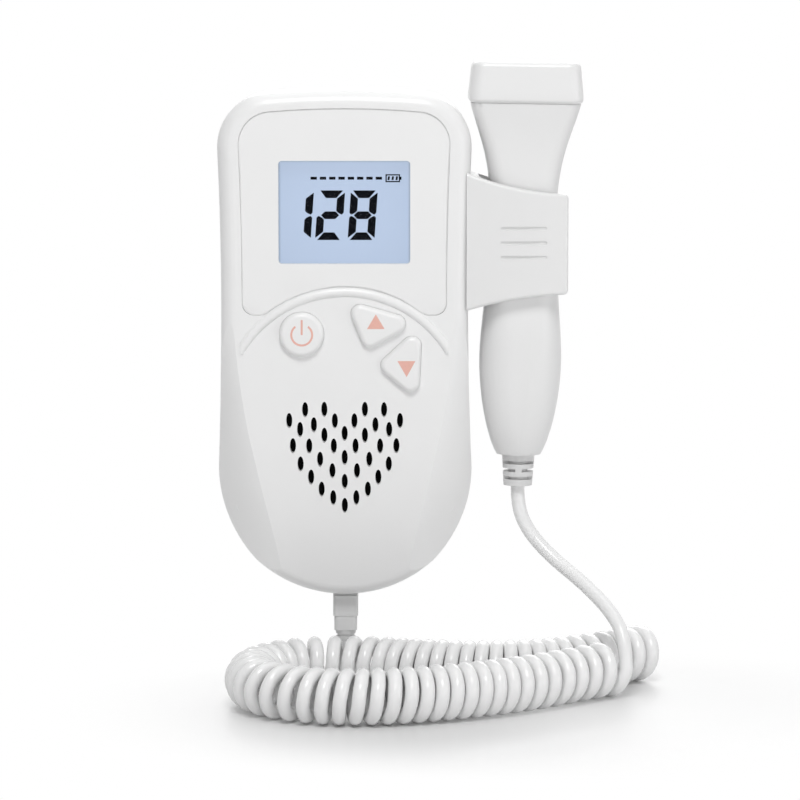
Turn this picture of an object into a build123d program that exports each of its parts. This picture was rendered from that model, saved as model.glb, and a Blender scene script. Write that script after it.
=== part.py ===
from build123d import *
from math import asin, cos, degrees, radians, sin, sqrt, tan
import os

# Fetal doppler monitor: a handheld unit, a probe in its side clip and a curly cord between them.
#
# The assembly frame has +Z up and +X to the right, and the front of the unit looks along -Y.
# The unit's own pieces are drawn on the bench, lying on the back face: x to the right, y to the
# top of the unit from its middle and z the height over the back. UPRIGHT then stands them up.
# The probe's pieces are drawn on its own axis. Last, everything is raised by ORIGIN_RISE, so that
# the origin is on the flat back face, at the centre of the unit's half-round lower end.

# ---------------------------------------------------------------- driving dimensions, in mm
BODY_WIDTH = 70.6
BODY_HEIGHT = 141.2
BODY_DEPTH = 30.0
PARTING_HEIGHT = 14.0
TOP_CORNER_RADIUS = 15.0
TOP_CORNER_X = BODY_WIDTH / 2 - TOP_CORNER_RADIUS - 0.3
TOP_CROWN_RADIUS = 250.0
WAIST_DRAW = 1.2
ORIGIN_RISE = (BODY_HEIGHT - BODY_WIDTH) / 2
RIM_RADIUS = 4.2
BACK_EDGE_RADIUS = 5.0
WALL = 2.0
FRONT_WALL = 3.2
FIT = 0.3

# front surface: flat at the top, bent back below BEND_START, with a falling flank on each side
BEND_START = -27.3
BEND_RADIUS = 136.0
# along the crease of a flank: place over the middle, half width of the tongue, flank width, drop
FLANK_STATIONS = [
    (18.0, 33.2, 4.0, 0.8),
    (6.0, 30.6, 5.0, 3.2),
    (-8.0, 29.2, 6.5, 6.0),
    (-22.0, 27.0, 8.5, 8.2),
    (-36.0, 23.9, 10.5, 9.2),
    (-50.0, 20.5, 11.0, 8.6),
    (-62.0, 17.9, 11.0, 6.8),
    (-76.0, 15.6, 11.0, 4.2),
]
FLANK_SLOPE = 0.45

# screen panel, a plate let into the front
PANEL_INSET = 5.9
PANEL_RISE = 0.8
PANEL_THICKNESS = 1.2
PANEL_RECESS = 1.5
PANEL_BOTTOM = 8.6
PANEL_CORNER_RADIUS = 3.4
PANEL_GAP = 0.15
PANEL_CHAMFER = 0.3
ARCH_RADIUS = 35.0
ARCH_PEAK = 16.4
BEAD_GAP = 1.4
BEAD_RADIUS = 1.4
BEAD_SINK = 0.6
BEAD_REACH = 28.6

# display
WINDOW_WIDTH = 36.2
WINDOW_HEIGHT = 28.3
WINDOW_CENTRE = 36.95
WINDOW_CORNER_RADIUS = 1.0
LENS_THICKNESS = 0.8
LENS_MARGIN = 1.4
LCD_MARGIN_X = 3.5
LCD_MARGIN_Y = 3.2
LCD_THICKNESS = 2.6
BACKLIGHT_THICKNESS = 2.9

# buttons
POWER_CENTRE = (-11.8, 3.4)
POWER_RADIUS = 6.05
UP_CORNERS = [(0.2, 12.9), (20.8, 7.1), (5.85, -1.15)]
ARROW_CORNER_RADIUS = 2.5
MIRROR_POINT = (10.07, -1.25)
MIRROR_SLOPE = 35.8
BUTTON_PROUD = 2.0
BUTTON_EDGE_RADIUS = 1.3
BUTTON_CLEARANCE = 0.2
BUTTON_TRAVEL = 0.8
BUTTON_FLANGE = 1.1
BUTTON_FLANGE_THICKNESS = 0.9
BUTTON_STEM_RADIUS = 1.5
BUTTON_STEM_LENGTH = 0.4
TRAVEL_RESERVE = 0.2

# speaker grille: a heart of upright elliptical holes
HOLE_HALF_WIDTH = 0.84
HOLE_HALF_HEIGHT = 2.1
HEART_MIDDLE = [-24.1, -30.8, -37.5, -44.3]
HEART_PAIRS = [
    (10.9, -17.5), (5.6, -17.4), (15.3, -20.5), (2.7, -20.6), (8.5, -21.7), (12.3, -23.0),
    (5.6, -24.6), (14.3, -27.5), (9.8, -27.6), (3.0, -27.6), (6.8, -31.3), (12.2, -32.6),
    (3.4, -34.5), (9.3, -36.3), (6.4, -39.7), (3.2, -42.1),
]
SPEAKER_CENTRE = -30.5
SPEAKER_RADIUS = 18.0
SPEAKER_DEPTH = 4.2
SPEAKER_RIM = 2.4
MAGNET_RADIUS = 9.0
MAGNET_DEPTH = 4.5
CLOTH_THICKNESS = 0.3
CLOTH_RADIUS = 20.6
CLOTH_BOTTOM = -49.4

# circuit board and its screws
BOARD_TOP = 20.7
BOARD_THICKNESS = 1.6
BOARD_INSET = 4.8
BOARD_HOLE_CLEARANCE = 1.5
BOARD_POSTS = [(27.0, 50.0), (19.0, -54.5)]
POST_RADIUS = 2.6
SCREW_RADIUS = 1.0
SCREW_HEAD_RADIUS = 2.0
SCREW_HEAD_HEIGHT = 1.3
BOARD_SCREW_LENGTH = 6.0
THREAD_GAP = 0.05

# case screws, from the back
CASE_POSTS = [(25.5, 60.0), (27.0, -45.0)]
CASE_POST_RADIUS = 3.3
CASE_SCREW_LENGTH = 12.0
CASE_SCREW_SEAT = 5.0
LIP_THICKNESS = 0.9
LIP_HEIGHT = 1.2
LIP_GAP = 0.15

# tact switches under the buttons
SWITCH_SIZE = 6.0
SWITCH_BODY_HEIGHT = 2.3
SWITCH_PLUNGER_RADIUS = 1.75

# battery compartment: two AA cells side by side
CELL_RADIUS = 7.25
CELL_LENGTH = 50.5
CELL_NUB_RADIUS = 2.75
CELL_NUB_LENGTH = 1.0
CELL_GAP = 0.3
CELL_FLOOR_GAP = 0.3
TRAY_LENGTH = 58.0
TRAY_BOTTOM = -11.0
TRAY_WALL = 1.5
LEDGE_WIDTH = 5.4
LEDGE_HEIGHT = 3.4
DOOR_THICKNESS = 1.6
DOOR_RECESS = 1.8
DOOR_MARGIN = 3.6
DOOR_GAP = 0.3
TONGUE_WIDTH = 6.0
TONGUE_X = 9.0
TONGUE_REACH = 1.5
TONGUE_ROOT = 1.5
LATCH_WIDTH = 10.0
LATCH_DEPTH = 5.5
LATCH_THICKNESS = 1.0
LATCH_GAP = 0.4
GRIP_COUNT = 5
GRIP_PITCH = 2.0
GRIP_WIDTH = 0.9
GRIP_LENGTH = 16.0
CONTACT_THICKNESS = 0.4
CONTACT_WIDTH = 9.0
SPRING_RADIUS = 3.2
SPRING_WIRE_RADIUS = 0.35
SPRING_TURNS = 4

# headphone jack, in the left side
JACK_HEIGHT = 9.5
JACK_PLACE = 30.0
JACK_BORE_RADIUS = 1.8
JACK_NOSE_RADIUS = 2.9
JACK_BODY = (9.8, 6.4, 5.6)
JACK_BORE_LENGTH = 11.5

# probe socket, in the lower end, and the plug in it
SOCKET_HEIGHT = 15.0
SOCKET_OUTER = (12.0, 12.8, 8.0)
SOCKET_WALL = 1.1
SOCKET_TOP = -54.8
PLUG_WIDTH = 7.0
PLUG_THICKNESS = 5.4
PLUG_CLEARANCE = 0.2
PLUG_NOSE_TOP = -58.4
PLUG_NOSE_BOTTOM = -71.4
OVERMOULD_BOTTOM = -77.3
OVERMOULD_THICKNESS = 6.4
BOOT_WIDTH = 6.4
BOOT_RING_BOTTOM = -81.4
BOOT_BOTTOM = -86.0
CONTACT_BLADES = 4
BLADE_PITCH = 1.2
BLADE_WIDTH = 0.5

# side clip for the probe
# its places across the unit are counted from the unit's side, as the probe's are
UNIT_SIDE = BODY_WIDTH / 2
CLIP_LEFT = UNIT_SIDE - 1.7
CLIP_RIGHT = UNIT_SIDE + 26.3
CLIP_TOP_POINTS = [(UNIT_SIDE - 2.3, 48.1), (UNIT_SIDE + 11.1, 43.8), (CLIP_RIGHT, 41.9)]
CLIP_BOTTOM_POINTS = [(CLIP_RIGHT, 14.2), (UNIT_SIDE + 11.2, 12.8), (UNIT_SIDE - 2.3, 9.5)]
CLIP_CORNER_RADIUS = 1.4
CLIP_EDGE_RADIUS = 0.9
CLIP_ARM = 2.6
CLIP_BOW = 0.9
CLIP_WEB_RIGHT = UNIT_SIDE + 1.9
CLIP_SEAT_GAP = 0.1
CLIP_PROBE_GAP = 0.3
GROOVES = [32.5, 28.5, 24.5]
GROOVE_LEFT = UNIT_SIDE + 7.7
GROOVE_RIGHT = UNIT_SIDE + 20.4
GROOVE_WIDTH = 1.1
GROOVE_DEPTH = 0.6
CLIP_SCREW_PLACES = [19.0, 36.0]
CLIP_SCREW_HEIGHT = 9.0
CLIP_SCREW_LENGTH = 4.0

# probe, drawn on its own axis and then placed with a small lean
PROBE_X = UNIT_SIDE + 13.1
PROBE_Y = -15.5
PROBE_LEAN = 0.9
PROBE_PIVOT = -36.0
PROBE_SPLIT_GAP = 0.1
PROBE_WALL = 1.8
# section: place along the axis, half width, half depth, corner radius
PROBE_SECTIONS = [
    (-31.4, 6.2, 6.2, 5.6),
    (-27.0, 8.1, 8.1, 7.4),
    (-14.3, 10.8, 10.3, 8.6),
    (-4.0, 11.4, 10.8, 8.8),
    (10.0, 10.4, 10.8, 7.0),
    (28.0, 9.4, 10.3, 5.5),
    (43.0, 9.4, 9.8, 4.5),
    (53.5, 11.2, 9.9, 4.0),
    (61.0, 13.5, 10.5, 3.6),
    (66.6, 15.2, 11.3, 3.4),
]
PROBE_BOTTOM = PROBE_SECTIONS[0][0]
PROBE_TOP = PROBE_SECTIONS[-1][0]
HOLLOW_SECTIONS = [0, 2, 5, 6, 7, 9]
HEAD_BOTTOM = 66.8
HEAD_RIM_HEIGHT = 2.2
HEAD_TOP = 78.1
HEAD_RIM = (15.7, 12.2, 3.6)
HEAD_FACE = (14.8, 11.3, 3.4)
HEAD_EDGE_RADIUS = 1.8
HEAD_LIP_RADIUS = 1.0
FACE_THICKNESS = 1.6
CRYSTAL_RADIUS = 8.0
CRYSTAL_THICKNESS = 1.0
CRYSTAL_SPLIT = 0.6
BACKING_THICKNESS = 4.0
PROBE_BOARD_LENGTH = 70.0
PROBE_BOARD_BOTTOM = -10.0
PROBE_BOARD_HALF_WIDTH = 7.2
PROBE_BOARD_DEPTH = 2.5
PROBE_SCREW_PLACES = [-20.0, 52.0]
PROBE_POST_RADIUS = 2.7
PROBE_SCREW_LENGTH = 9.0
RELIEF_TOP_RADIUS = 4.6
RELIEF_BOTTOM_RADIUS = 4.0
RELIEF_BOTTOM = -40.3
RELIEF_NECK_RADIUS = 3.6
RELIEF_FLANGE = 0.6
RELIEF_RINGS = 3
RELIEF_GROOVE = 0.9
RELIEF_GROOVE_DEPTH = 1.3
RELIEF_SPINE = 0.9

# cord
CORD_DIAMETER = 3.85
COIL_DIAMETER = 15.3
SURFACE = -96.1
COIL_Z = SURFACE + COIL_DIAMETER / 2 + 0.05
CORD_Z = SURFACE + CORD_DIAMETER / 2 + 0.05
COIL_POINTS = [
    (83.6, -14.6), (68.5, -26.5), (51.0, -37.0), (27.0, -37.5), (3.0, -29.0), (-14.5, -32.5),
    (-25.4, -46.5), (-24.0, -64.0), (-10.5, -76.5), (8.5, -79.5), (32.5, -70.5), (51.0, -59.0),
    (64.0, -46.0), (73.5, -38.3),
]
PLUG_LEAD_POINTS = [
    (0.0, -15.0, BOOT_BOTTOM), (0.0, -15.0, -90.6), (2.6, -12.6, CORD_Z), (9.5, -9.0, CORD_Z),
    (22.0, -6.5, CORD_Z), (40.0, -7.0, CORD_Z), (55.0, -4.5, CORD_Z), (65.5, -3.0, -92.2),
    (73.2, -5.0, -87.4), (79.4, -8.9, -83.4), (84.2, -14.6, -82.7),
]
PROBE_LEAD_STRAIGHT = 5.6
PROBE_LEAD_POINTS = [
    (50.9, -17.0, -52.8), (57.5, -20.5, -60.0), (66.5, -27.0, -66.5),
    (74.0, -34.5, -73.5), (77.5, -40.6, -80.3), (77.4, -42.6, -88.4),
]

UPRIGHT = Location((0, 0, 0), (90, 0, 0))
EPS = 0.01


# ---------------------------------------------------------------- helpers
def save(part, node):
    """Write one piece, or one group of like pieces, as its own file, raised to the origin."""
    export_step(Pos(0, 0, ORIGIN_RISE) * part, f"parts/{node}.step")


def block(x0, x1, y0, y1, z0, z1):
    """A box between two corners."""
    box = Box(x1 - x0, y1 - y0, z1 - z0, align=(Align.MIN, Align.MIN, Align.MIN))
    return Pos(x0, y0, z0) * box


def rod(radius, x, y, z0, z1):
    """An upright cylinder between two heights."""
    return Pos(x, y, z0) * Cylinder(radius, z1 - z0, align=(Align.CENTER, Align.CENTER, Align.MIN))


def slab(face, z0, z1):
    """A flat face drawn at height 0, as a plate between two heights."""
    return Pos(0, 0, z0) * extrude(face, z1 - z0, dir=(0, 0, 1))


def both_sides(points):
    """The points and their mirror images about the middle of the unit."""
    return [(side * x, y) for x, y in points for side in (1, -1)]


def closed_face(*curves):
    """A flat face inside curves that join end to end."""
    edges = [edge for curve in curves for edge in curve.edges()]
    return make_face(edges)


def group(pieces):
    """Separate solids that share one node."""
    return Compound(children=list(pieces))


# ---------------------------------------------------------------- the unit's outline
def corner_y():
    """Place of the top corners' centres along the unit, where the crown's arc meets them."""
    reach = TOP_CROWN_RADIUS - TOP_CORNER_RADIUS
    return BODY_HEIGHT / 2 - TOP_CROWN_RADIUS + sqrt(reach**2 - TOP_CORNER_X**2)


def rise_to(circle_x, circle_radius, side_radius):
    """Height between the waist and the centre of a circle that the long side's arc touches."""
    across = side_radius + BODY_WIDTH / 2 - WAIST_DRAW - circle_x
    return sqrt((side_radius + circle_radius) ** 2 - across**2)


def solve_side_radius():
    """Radius of the hollow arc that touches both the top corner and the half-round end."""
    span = corner_y() + ORIGIN_RISE
    low, high = BODY_WIDTH, 100 * BODY_WIDTH
    for _ in range(60):
        radius = (low + high) / 2
        reach = rise_to(TOP_CORNER_X, TOP_CORNER_RADIUS, radius) + rise_to(0, BODY_WIDTH / 2, radius)
        low, high = (radius, high) if reach < span else (low, radius)
    return low


SIDE_RADIUS = solve_side_radius()
SIDE_CENTRE = Vector(
    BODY_WIDTH / 2 - WAIST_DRAW + SIDE_RADIUS,
    rise_to(0, BODY_WIDTH / 2, SIDE_RADIUS) - ORIGIN_RISE,
)
CORNER_CENTRE = Vector(TOP_CORNER_X, corner_y())
CROWN_CENTRE = Vector(0, BODY_HEIGHT / 2 - TOP_CROWN_RADIUS)
END_CENTRE = Vector(0, -ORIGIN_RISE)


def side_x(y):
    """Half width of the unit at a place between its top corners and its half-round end."""
    return SIDE_CENTRE.X - sqrt(SIDE_RADIUS**2 - (y - SIDE_CENTRE.Y) ** 2)


def body_outline(inset=0.0):
    """The unit seen from the front: crowned top, round corners, drawn-in waist, half-round end."""
    corner = TOP_CORNER_RADIUS - inset
    to_corner = (CORNER_CENTRE - CROWN_CENTRE).normalized()
    corner_to_side = (SIDE_CENTRE - CORNER_CENTRE).normalized()
    end_to_side = (SIDE_CENTRE - END_CENTRE).normalized()
    crown_end = CROWN_CENTRE + to_corner * (TOP_CROWN_RADIUS - inset)
    corner_middle = CORNER_CENTRE + (to_corner + corner_to_side).normalized() * corner
    side_top = CORNER_CENTRE + corner_to_side * corner
    side_middle = SIDE_CENTRE - Vector(SIDE_RADIUS + inset, 0)
    side_end = END_CENTRE + end_to_side * (BODY_WIDTH / 2 - inset)

    crown = ThreePointArc((-crown_end.X, crown_end.Y), (0, BODY_HEIGHT / 2 - inset), crown_end)
    round_corner = ThreePointArc(crown_end, corner_middle, side_top)
    side = ThreePointArc(side_top, side_middle, side_end)
    end = ThreePointArc(side_end, (0, inset - BODY_HEIGHT / 2), (-side_end.X, side_end.Y))
    left_side = mirror(side, Plane.YZ)
    left_corner = mirror(round_corner, Plane.YZ)
    return closed_face(crown, round_corner, side, end, left_side, left_corner)


def bend_cutter():
    """What lies in front of the front surface where it bends back towards the lower end."""
    far = 60.0
    reach = degrees(asin((BODY_HEIGHT / 2 + BEND_START + 4) / BEND_RADIUS))
    arc = CenterArc((BEND_START, BODY_DEPTH - BEND_RADIUS), BEND_RADIUS, 90, reach)
    tail = arc @ 1
    line = Polyline(tail, (tail.X, far), (BEND_START, far), (BEND_START, BODY_DEPTH))
    profile = closed_face(arc, line)
    # the profile is drawn as (place along the unit, height) and stood across the unit
    across = Plane(origin=(-BODY_WIDTH, 0, 0), x_dir=(0, 1, 0), z_dir=(1, 0, 0))
    return extrude(across * profile, 2 * BODY_WIDTH)


def front_height(y):
    """Height of the front surface on the middle line."""
    beyond = max(0.0, BEND_START - y)
    return BODY_DEPTH - BEND_RADIUS + sqrt(BEND_RADIUS**2 - beyond**2)


def flank_cutter(side):
    """What lies in front of the falling flank on one side, under a smooth surface."""
    rows = []
    for y, crease, width, drop in FLANK_STATIONS:
        row = []
        for step in range(-3, 15, 2):
            t = step / 10
            fall = drop * (FLANK_SLOPE * t + (1 - FLANK_SLOPE) * t * abs(t))
            row.append(Vector(side * (crease + t * width), y, front_height(y) - fall))
        rows.append(row)
    flank = Face.make_surface_from_array_of_points(rows)
    return extrude(flank, 2 * BODY_DEPTH, dir=(0, 0, 1))


def panel_outline(grow=0.0):
    """The screen panel: the body's outline drawn in, with an arch cut from its lower edge."""
    arch = Pos(0, ARCH_PEAK - ARCH_RADIUS) * Circle(ARCH_RADIUS - grow)
    low = PANEL_BOTTOM - grow
    below = Pos(0, low - BODY_HEIGHT / 2) * Rectangle(2 * BODY_WIDTH, BODY_HEIGHT)
    face = Pos(0, PANEL_RISE) * body_outline(PANEL_INSET - grow) - arch - below
    face = Sketch() + face
    corners = [v for v in face.vertices() if abs(v.Y - low) < 0.1]
    return fillet(corners, PANEL_CORNER_RADIUS)


def up_outline(grow=0.0):
    """Rounded triangle of the volume-up button."""
    triangle = make_face(Polyline(*UP_CORNERS, close=True))
    rounded = fillet(triangle.vertices(), ARROW_CORNER_RADIUS)
    return offset(rounded, grow) if grow else rounded


def mirrored_about_slant(shape):
    """The volume-down button is the volume-up button, mirrored about a slanting line."""
    normal = (sin(radians(MIRROR_SLOPE)), -cos(radians(MIRROR_SLOPE)), 0)
    return mirror(shape, Plane(origin=(*MIRROR_POINT, 0), z_dir=normal))


def power_outline(grow=0.0):
    """Round power button."""
    return Pos(*POWER_CENTRE) * Circle(POWER_RADIUS + grow)


def down_outline(grow=0.0):
    """Rounded triangle of the volume-down button."""
    return mirrored_about_slant(up_outline(grow))


BUTTONS = {
    "power_button": power_outline,
    "volume_up_button": up_outline,
    "volume_down_button": down_outline,
}


def middle_of(outline):
    """Middle of a button's outline, where its stem stands."""
    centre = outline().face().center()
    return (centre.X, centre.Y)


STEM_PLACES = {name: middle_of(outline) for name, outline in BUTTONS.items()}


# ---------------------------------------------------------------- shells of the unit
INNER_FRONT = BODY_DEPTH - FRONT_WALL
CAVITY_LOW = 19.2
CAVITY_MIDDLE = 22.2
CAVITY_STEP = 2.2
TONGUE_WALL = 2.4
TONGUE_CAVITY_BOTTOM = -50.5


def tongue_cavity():
    """The part of the inside that reaches up to the front wall, between the flanks."""
    right = [(crease - TONGUE_WALL, y) for y, crease, _, _ in FLANK_STATIONS[1:5]]
    low = FLANK_STATIONS[5]
    right.append((low[1] - TONGUE_WALL, TONGUE_CAVITY_BOTTOM))
    top = [(BODY_WIDTH / 2, BODY_HEIGHT / 2), (BODY_WIDTH / 2, FLANK_STATIONS[0][0])]
    outline = top + right
    left = [(-x, y) for x, y in reversed(outline)]
    field = make_face(Polyline(*outline, *left, close=True))
    return field & body_outline(WALL + CAVITY_STEP)


def socket_opening():
    """The notch that both shells leave for the probe socket's mouth."""
    half_x = PLUG_WIDTH / 2 + 2 * PLUG_CLEARANCE + 0.5
    half_z = OVERMOULD_THICKNESS / 2 + 2 * PLUG_CLEARANCE
    low = -BODY_HEIGHT / 2 - 1
    return block(-half_x, half_x, low, low + 9, SOCKET_HEIGHT - half_z, SOCKET_HEIGHT + half_z)


def front_shell():
    """Front housing: rim, screen recess, arch bead, tapered tongue and the heart of holes."""
    shell = slab(body_outline(), PARTING_HEIGHT, BODY_DEPTH) - bend_cutter()
    high = [e for e in shell.edges() if e.center().Z > BODY_DEPTH - 9]
    rim = [e for e in high if min(v.Z for v in e.vertices()) > BODY_DEPTH - 9]
    shell = fillet(rim, RIM_RADIUS)
    for side in (1, -1):
        shell -= flank_cutter(side)
    shell -= slab(body_outline(WALL), PARTING_HEIGHT - 1, CAVITY_LOW)
    shell -= slab(body_outline(WALL + CAVITY_STEP), CAVITY_LOW - EPS, CAVITY_MIDDLE)
    shell -= slab(tongue_cavity(), CAVITY_MIDDLE - EPS, INNER_FRONT)
    shell -= slab(body_outline(LIP_THICKNESS), PARTING_HEIGHT - 1, PARTING_HEIGHT + LIP_HEIGHT + LIP_GAP)

    bead_ring = Pos(0, ARCH_PEAK - ARCH_RADIUS, BODY_DEPTH - BEAD_SINK)
    bead = bead_ring * Torus(ARCH_RADIUS - BEAD_GAP, BEAD_RADIUS)
    bead = bead & block(-BEAD_REACH, BEAD_REACH, -2, BODY_HEIGHT / 2, INNER_FRONT + 0.5, BODY_DEPTH + 3)
    shell += bead

    shell -= slab(panel_outline(), BODY_DEPTH - PANEL_RECESS, BODY_DEPTH + 5)
    window = Pos(0, WINDOW_CENTRE) * RectangleRounded(WINDOW_WIDTH, WINDOW_HEIGHT, WINDOW_CORNER_RADIUS)
    shell -= slab(window, INNER_FRONT - 1, BODY_DEPTH)
    shell -= slab(lens_outline(LENS_MARGIN + PANEL_GAP), lens_seat(), BODY_DEPTH)
    for outline in BUTTONS.values():
        shell -= slab(outline(BUTTON_CLEARANCE), INNER_FRONT - 1, BODY_DEPTH + 5)
    shell -= slab(heart_holes(), INNER_FRONT - 1, BODY_DEPTH + 1)

    board_screw_tip = BOARD_TOP - BOARD_THICKNESS + BOARD_SCREW_LENGTH
    for x, y in both_sides(BOARD_POSTS):
        root = INNER_FRONT if y > TONGUE_CAVITY_BOTTOM else CAVITY_MIDDLE
        shell += rod(POST_RADIUS, x, y, BOARD_TOP + EPS, root + 0.5)
        shell -= rod(SCREW_RADIUS + THREAD_GAP, x, y, BOARD_TOP - 1, board_screw_tip + 0.5)
    for x, y in both_sides(CASE_POSTS):
        # the upper posts stand on the front wall, the lower ones on the flanks
        root = INNER_FRONT if y > 0 else CAVITY_MIDDLE
        post = rod(CASE_POST_RADIUS, x, y, PARTING_HEIGHT + LIP_GAP, root + 0.5)
        shell += post & slab(body_outline(WALL / 2), 0, BODY_DEPTH)
        shell -= rod(SCREW_RADIUS + THREAD_GAP, x, y, PARTING_HEIGHT - 1, case_screw_top() + 0.5)
    shell -= socket_opening()
    return shell


def lens_outline(margin):
    """The window's outline with a margin all round."""
    width = WINDOW_WIDTH + 2 * margin
    height = WINDOW_HEIGHT + 2 * margin
    return Pos(0, WINDOW_CENTRE) * RectangleRounded(width, height, WINDOW_CORNER_RADIUS)


def lens_seat():
    """Height of the ledge that carries the lens."""
    return BODY_DEPTH - PANEL_RECESS - LENS_THICKNESS - EPS


def heart_holes():
    """Flat ellipses of the grille."""
    places = both_sides(HEART_PAIRS) + [(0.0, y) for y in HEART_MIDDLE]
    hole = Ellipse(HOLE_HALF_WIDTH, HOLE_HALF_HEIGHT)
    return Sketch() + [Pos(x, y) * hole for x, y in places]


def case_screw_top():
    """Height of a case screw's tip."""
    return CASE_SCREW_SEAT + CASE_SCREW_LENGTH


def tray_half_width(margin=0.0):
    """Half width of the space for the two cells, with a margin."""
    return 2 * CELL_RADIUS + CELL_GAP + margin


def tray_box(margin, z0, z1):
    """A box round the space for the cells."""
    half = tray_half_width(margin)
    return block(-half, half, TRAY_BOTTOM - margin, TRAY_BOTTOM + TRAY_LENGTH + margin, z0, z1)


TRAY_FLOOR = DOOR_RECESS + 2 * CELL_RADIUS + 2 * CELL_FLOOR_GAP
HINGE_Y = TRAY_BOTTOM + TRAY_LENGTH + DOOR_MARGIN


def tongue(side, grow):
    """One of the two tongues that hold the battery door's upper edge, or the slot for it."""
    half = TONGUE_WIDTH / 2 + grow
    x0, x1 = side * TONGUE_X - half, side * TONGUE_X + half
    low = DOOR_THICKNESS / 2 - grow / 3
    high = LEDGE_HEIGHT + 1 if grow else DOOR_THICKNESS
    return block(x0, x1, HINGE_Y - TONGUE_ROOT, HINGE_Y + TONGUE_REACH + grow, low, high)


def rear_shell():
    """Rear housing: flat back, rounded edge, battery tray, screw posts and the joint's lip."""
    shell = slab(body_outline(), 0, PARTING_HEIGHT)
    shell = fillet(shell.edges().group_by(Axis.Z)[0], BACK_EDGE_RADIUS)
    hollow = slab(body_outline(WALL), WALL, PARTING_HEIGHT + 5)
    shell -= fillet(hollow.edges().group_by(Axis.Z)[0], BACK_EDGE_RADIUS - WALL)
    lip = body_outline(LIP_THICKNESS + LIP_GAP) - body_outline(WALL)
    shell += slab(lip, PARTING_HEIGHT - 2, PARTING_HEIGHT + LIP_HEIGHT)
    shell += tray_box(LEDGE_WIDTH, 0.5, LEDGE_HEIGHT)
    shell += tray_box(TRAY_WALL, LEDGE_HEIGHT - 1, TRAY_FLOOR + TRAY_WALL)
    shell -= tray_box(0, -1, TRAY_FLOOR)
    shell -= tray_box(DOOR_MARGIN, -1, DOOR_RECESS)
    for side in (1, -1):
        shell -= tongue(side, DOOR_GAP)
    latch_y = TRAY_BOTTOM - DOOR_MARGIN
    latch_room = LATCH_WIDTH / 2 + DOOR_GAP
    shell -= block(-latch_room, latch_room, latch_y, TRAY_BOTTOM - TRAY_WALL, -1, LEDGE_HEIGHT + 1)
    scoop = Pos(0, latch_y) * Sphere(5.0)
    shell -= scoop & block(-6, 6, latch_y - 6, latch_y + 1, -1, 1.2)

    for x, y in both_sides(CASE_POSTS):
        post = rod(CASE_POST_RADIUS, x, y, 1, PARTING_HEIGHT - LIP_GAP)
        shell += post & slab(body_outline(WALL / 2), 0, BODY_DEPTH)
        shell -= rod(SCREW_HEAD_RADIUS + FIT, x, y, -1, CASE_SCREW_SEAT)
        shell -= rod(SCREW_RADIUS + FIT / 2, x, y, CASE_SCREW_SEAT - 1, PARTING_HEIGHT)
    nose = Cylinder(JACK_NOSE_RADIUS + LIP_GAP, 8)
    shell -= Pos(-BODY_WIDTH / 2, JACK_PLACE, JACK_HEIGHT) * Rot(0, 90, 0) * nose
    for y in CLIP_SCREW_PLACES:
        hole = Cylinder(SCREW_RADIUS + FIT / 2, 8)
        shell -= Pos(BODY_WIDTH / 2, y, CLIP_SCREW_HEIGHT) * Rot(0, 90, 0) * hole
    shell -= socket_opening()
    return shell


# ---------------------------------------------------------------- front pieces
def screen_panel():
    """Glossy plate round the display window."""
    low = BODY_DEPTH - PANEL_RECESS
    plate = slab(panel_outline(-PANEL_GAP), low, low + PANEL_THICKNESS)
    plate = chamfer(plate.edges().group_by(Axis.Z)[-1], PANEL_CHAMFER)
    window = Pos(0, WINDOW_CENTRE) * RectangleRounded(WINDOW_WIDTH, WINDOW_HEIGHT, WINDOW_CORNER_RADIUS)
    return plate - slab(window, 0, BODY_DEPTH + 1)


def lcd_lens():
    """Clear window behind the panel's opening."""
    return slab(lens_outline(LENS_MARGIN), lens_seat(), lens_seat() + LENS_THICKNESS)


LCD_TOP = INNER_FRONT - 0.2
LCD_BOTTOM = LCD_TOP - LCD_THICKNESS


def lcd_glass():
    """Display glass: a wide rear plate and a shorter front plate."""
    half_x = WINDOW_WIDTH / 2 + LCD_MARGIN_X
    half_y = WINDOW_HEIGHT / 2 + LCD_MARGIN_Y
    middle = (LCD_TOP + LCD_BOTTOM) / 2
    rear = block(-half_x, half_x, WINDOW_CENTRE - half_y, WINDOW_CENTRE + half_y, LCD_BOTTOM, middle)
    front = block(-half_x, half_x, WINDOW_CENTRE - half_y + 2, WINDOW_CENTRE + half_y, middle, LCD_TOP)
    return rear + front


def lcd_backlight():
    """Light guide in its tray, between the display glass and the board."""
    half_x = WINDOW_WIDTH / 2 + LCD_MARGIN_X + 0.5
    half_y = WINDOW_HEIGHT / 2 + LCD_MARGIN_Y + 0.5
    low_y, high_y = WINDOW_CENTRE - half_y, WINDOW_CENTRE + half_y
    top = LCD_BOTTOM - 0.1
    tray = block(-half_x, half_x, low_y, high_y, top - BACKLIGHT_THICKNESS, top)
    return chamfer(tray.edges().filter_by(Axis.Z), 1.0)


def speaker_frame():
    """Open basket of the speaker: rim, sloping wall and seat for the magnet."""
    top = INNER_FRONT - CLOTH_THICKNESS - 0.2
    seat = top - SPEAKER_DEPTH
    inner = SPEAKER_RADIUS - SPEAKER_RIM
    profile = Polyline(
        (inner, top), (SPEAKER_RADIUS, top), (SPEAKER_RADIUS, top - 1.2), (MAGNET_RADIUS + 1, seat),
        (3.0, seat), (3.0, seat + 0.8), (MAGNET_RADIUS, seat + 0.8), (inner, top - 1.4), close=True,
    )
    basket = revolve(Plane.XZ * make_face(profile), Axis.Z)
    slot = rod(2.2, 11.8, 0, seat - 1, top + 1)
    for turn in range(6):
        basket -= Rot(0, 0, 60 * turn + 30) * slot
    return Pos(0, SPEAKER_CENTRE) * basket


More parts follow.
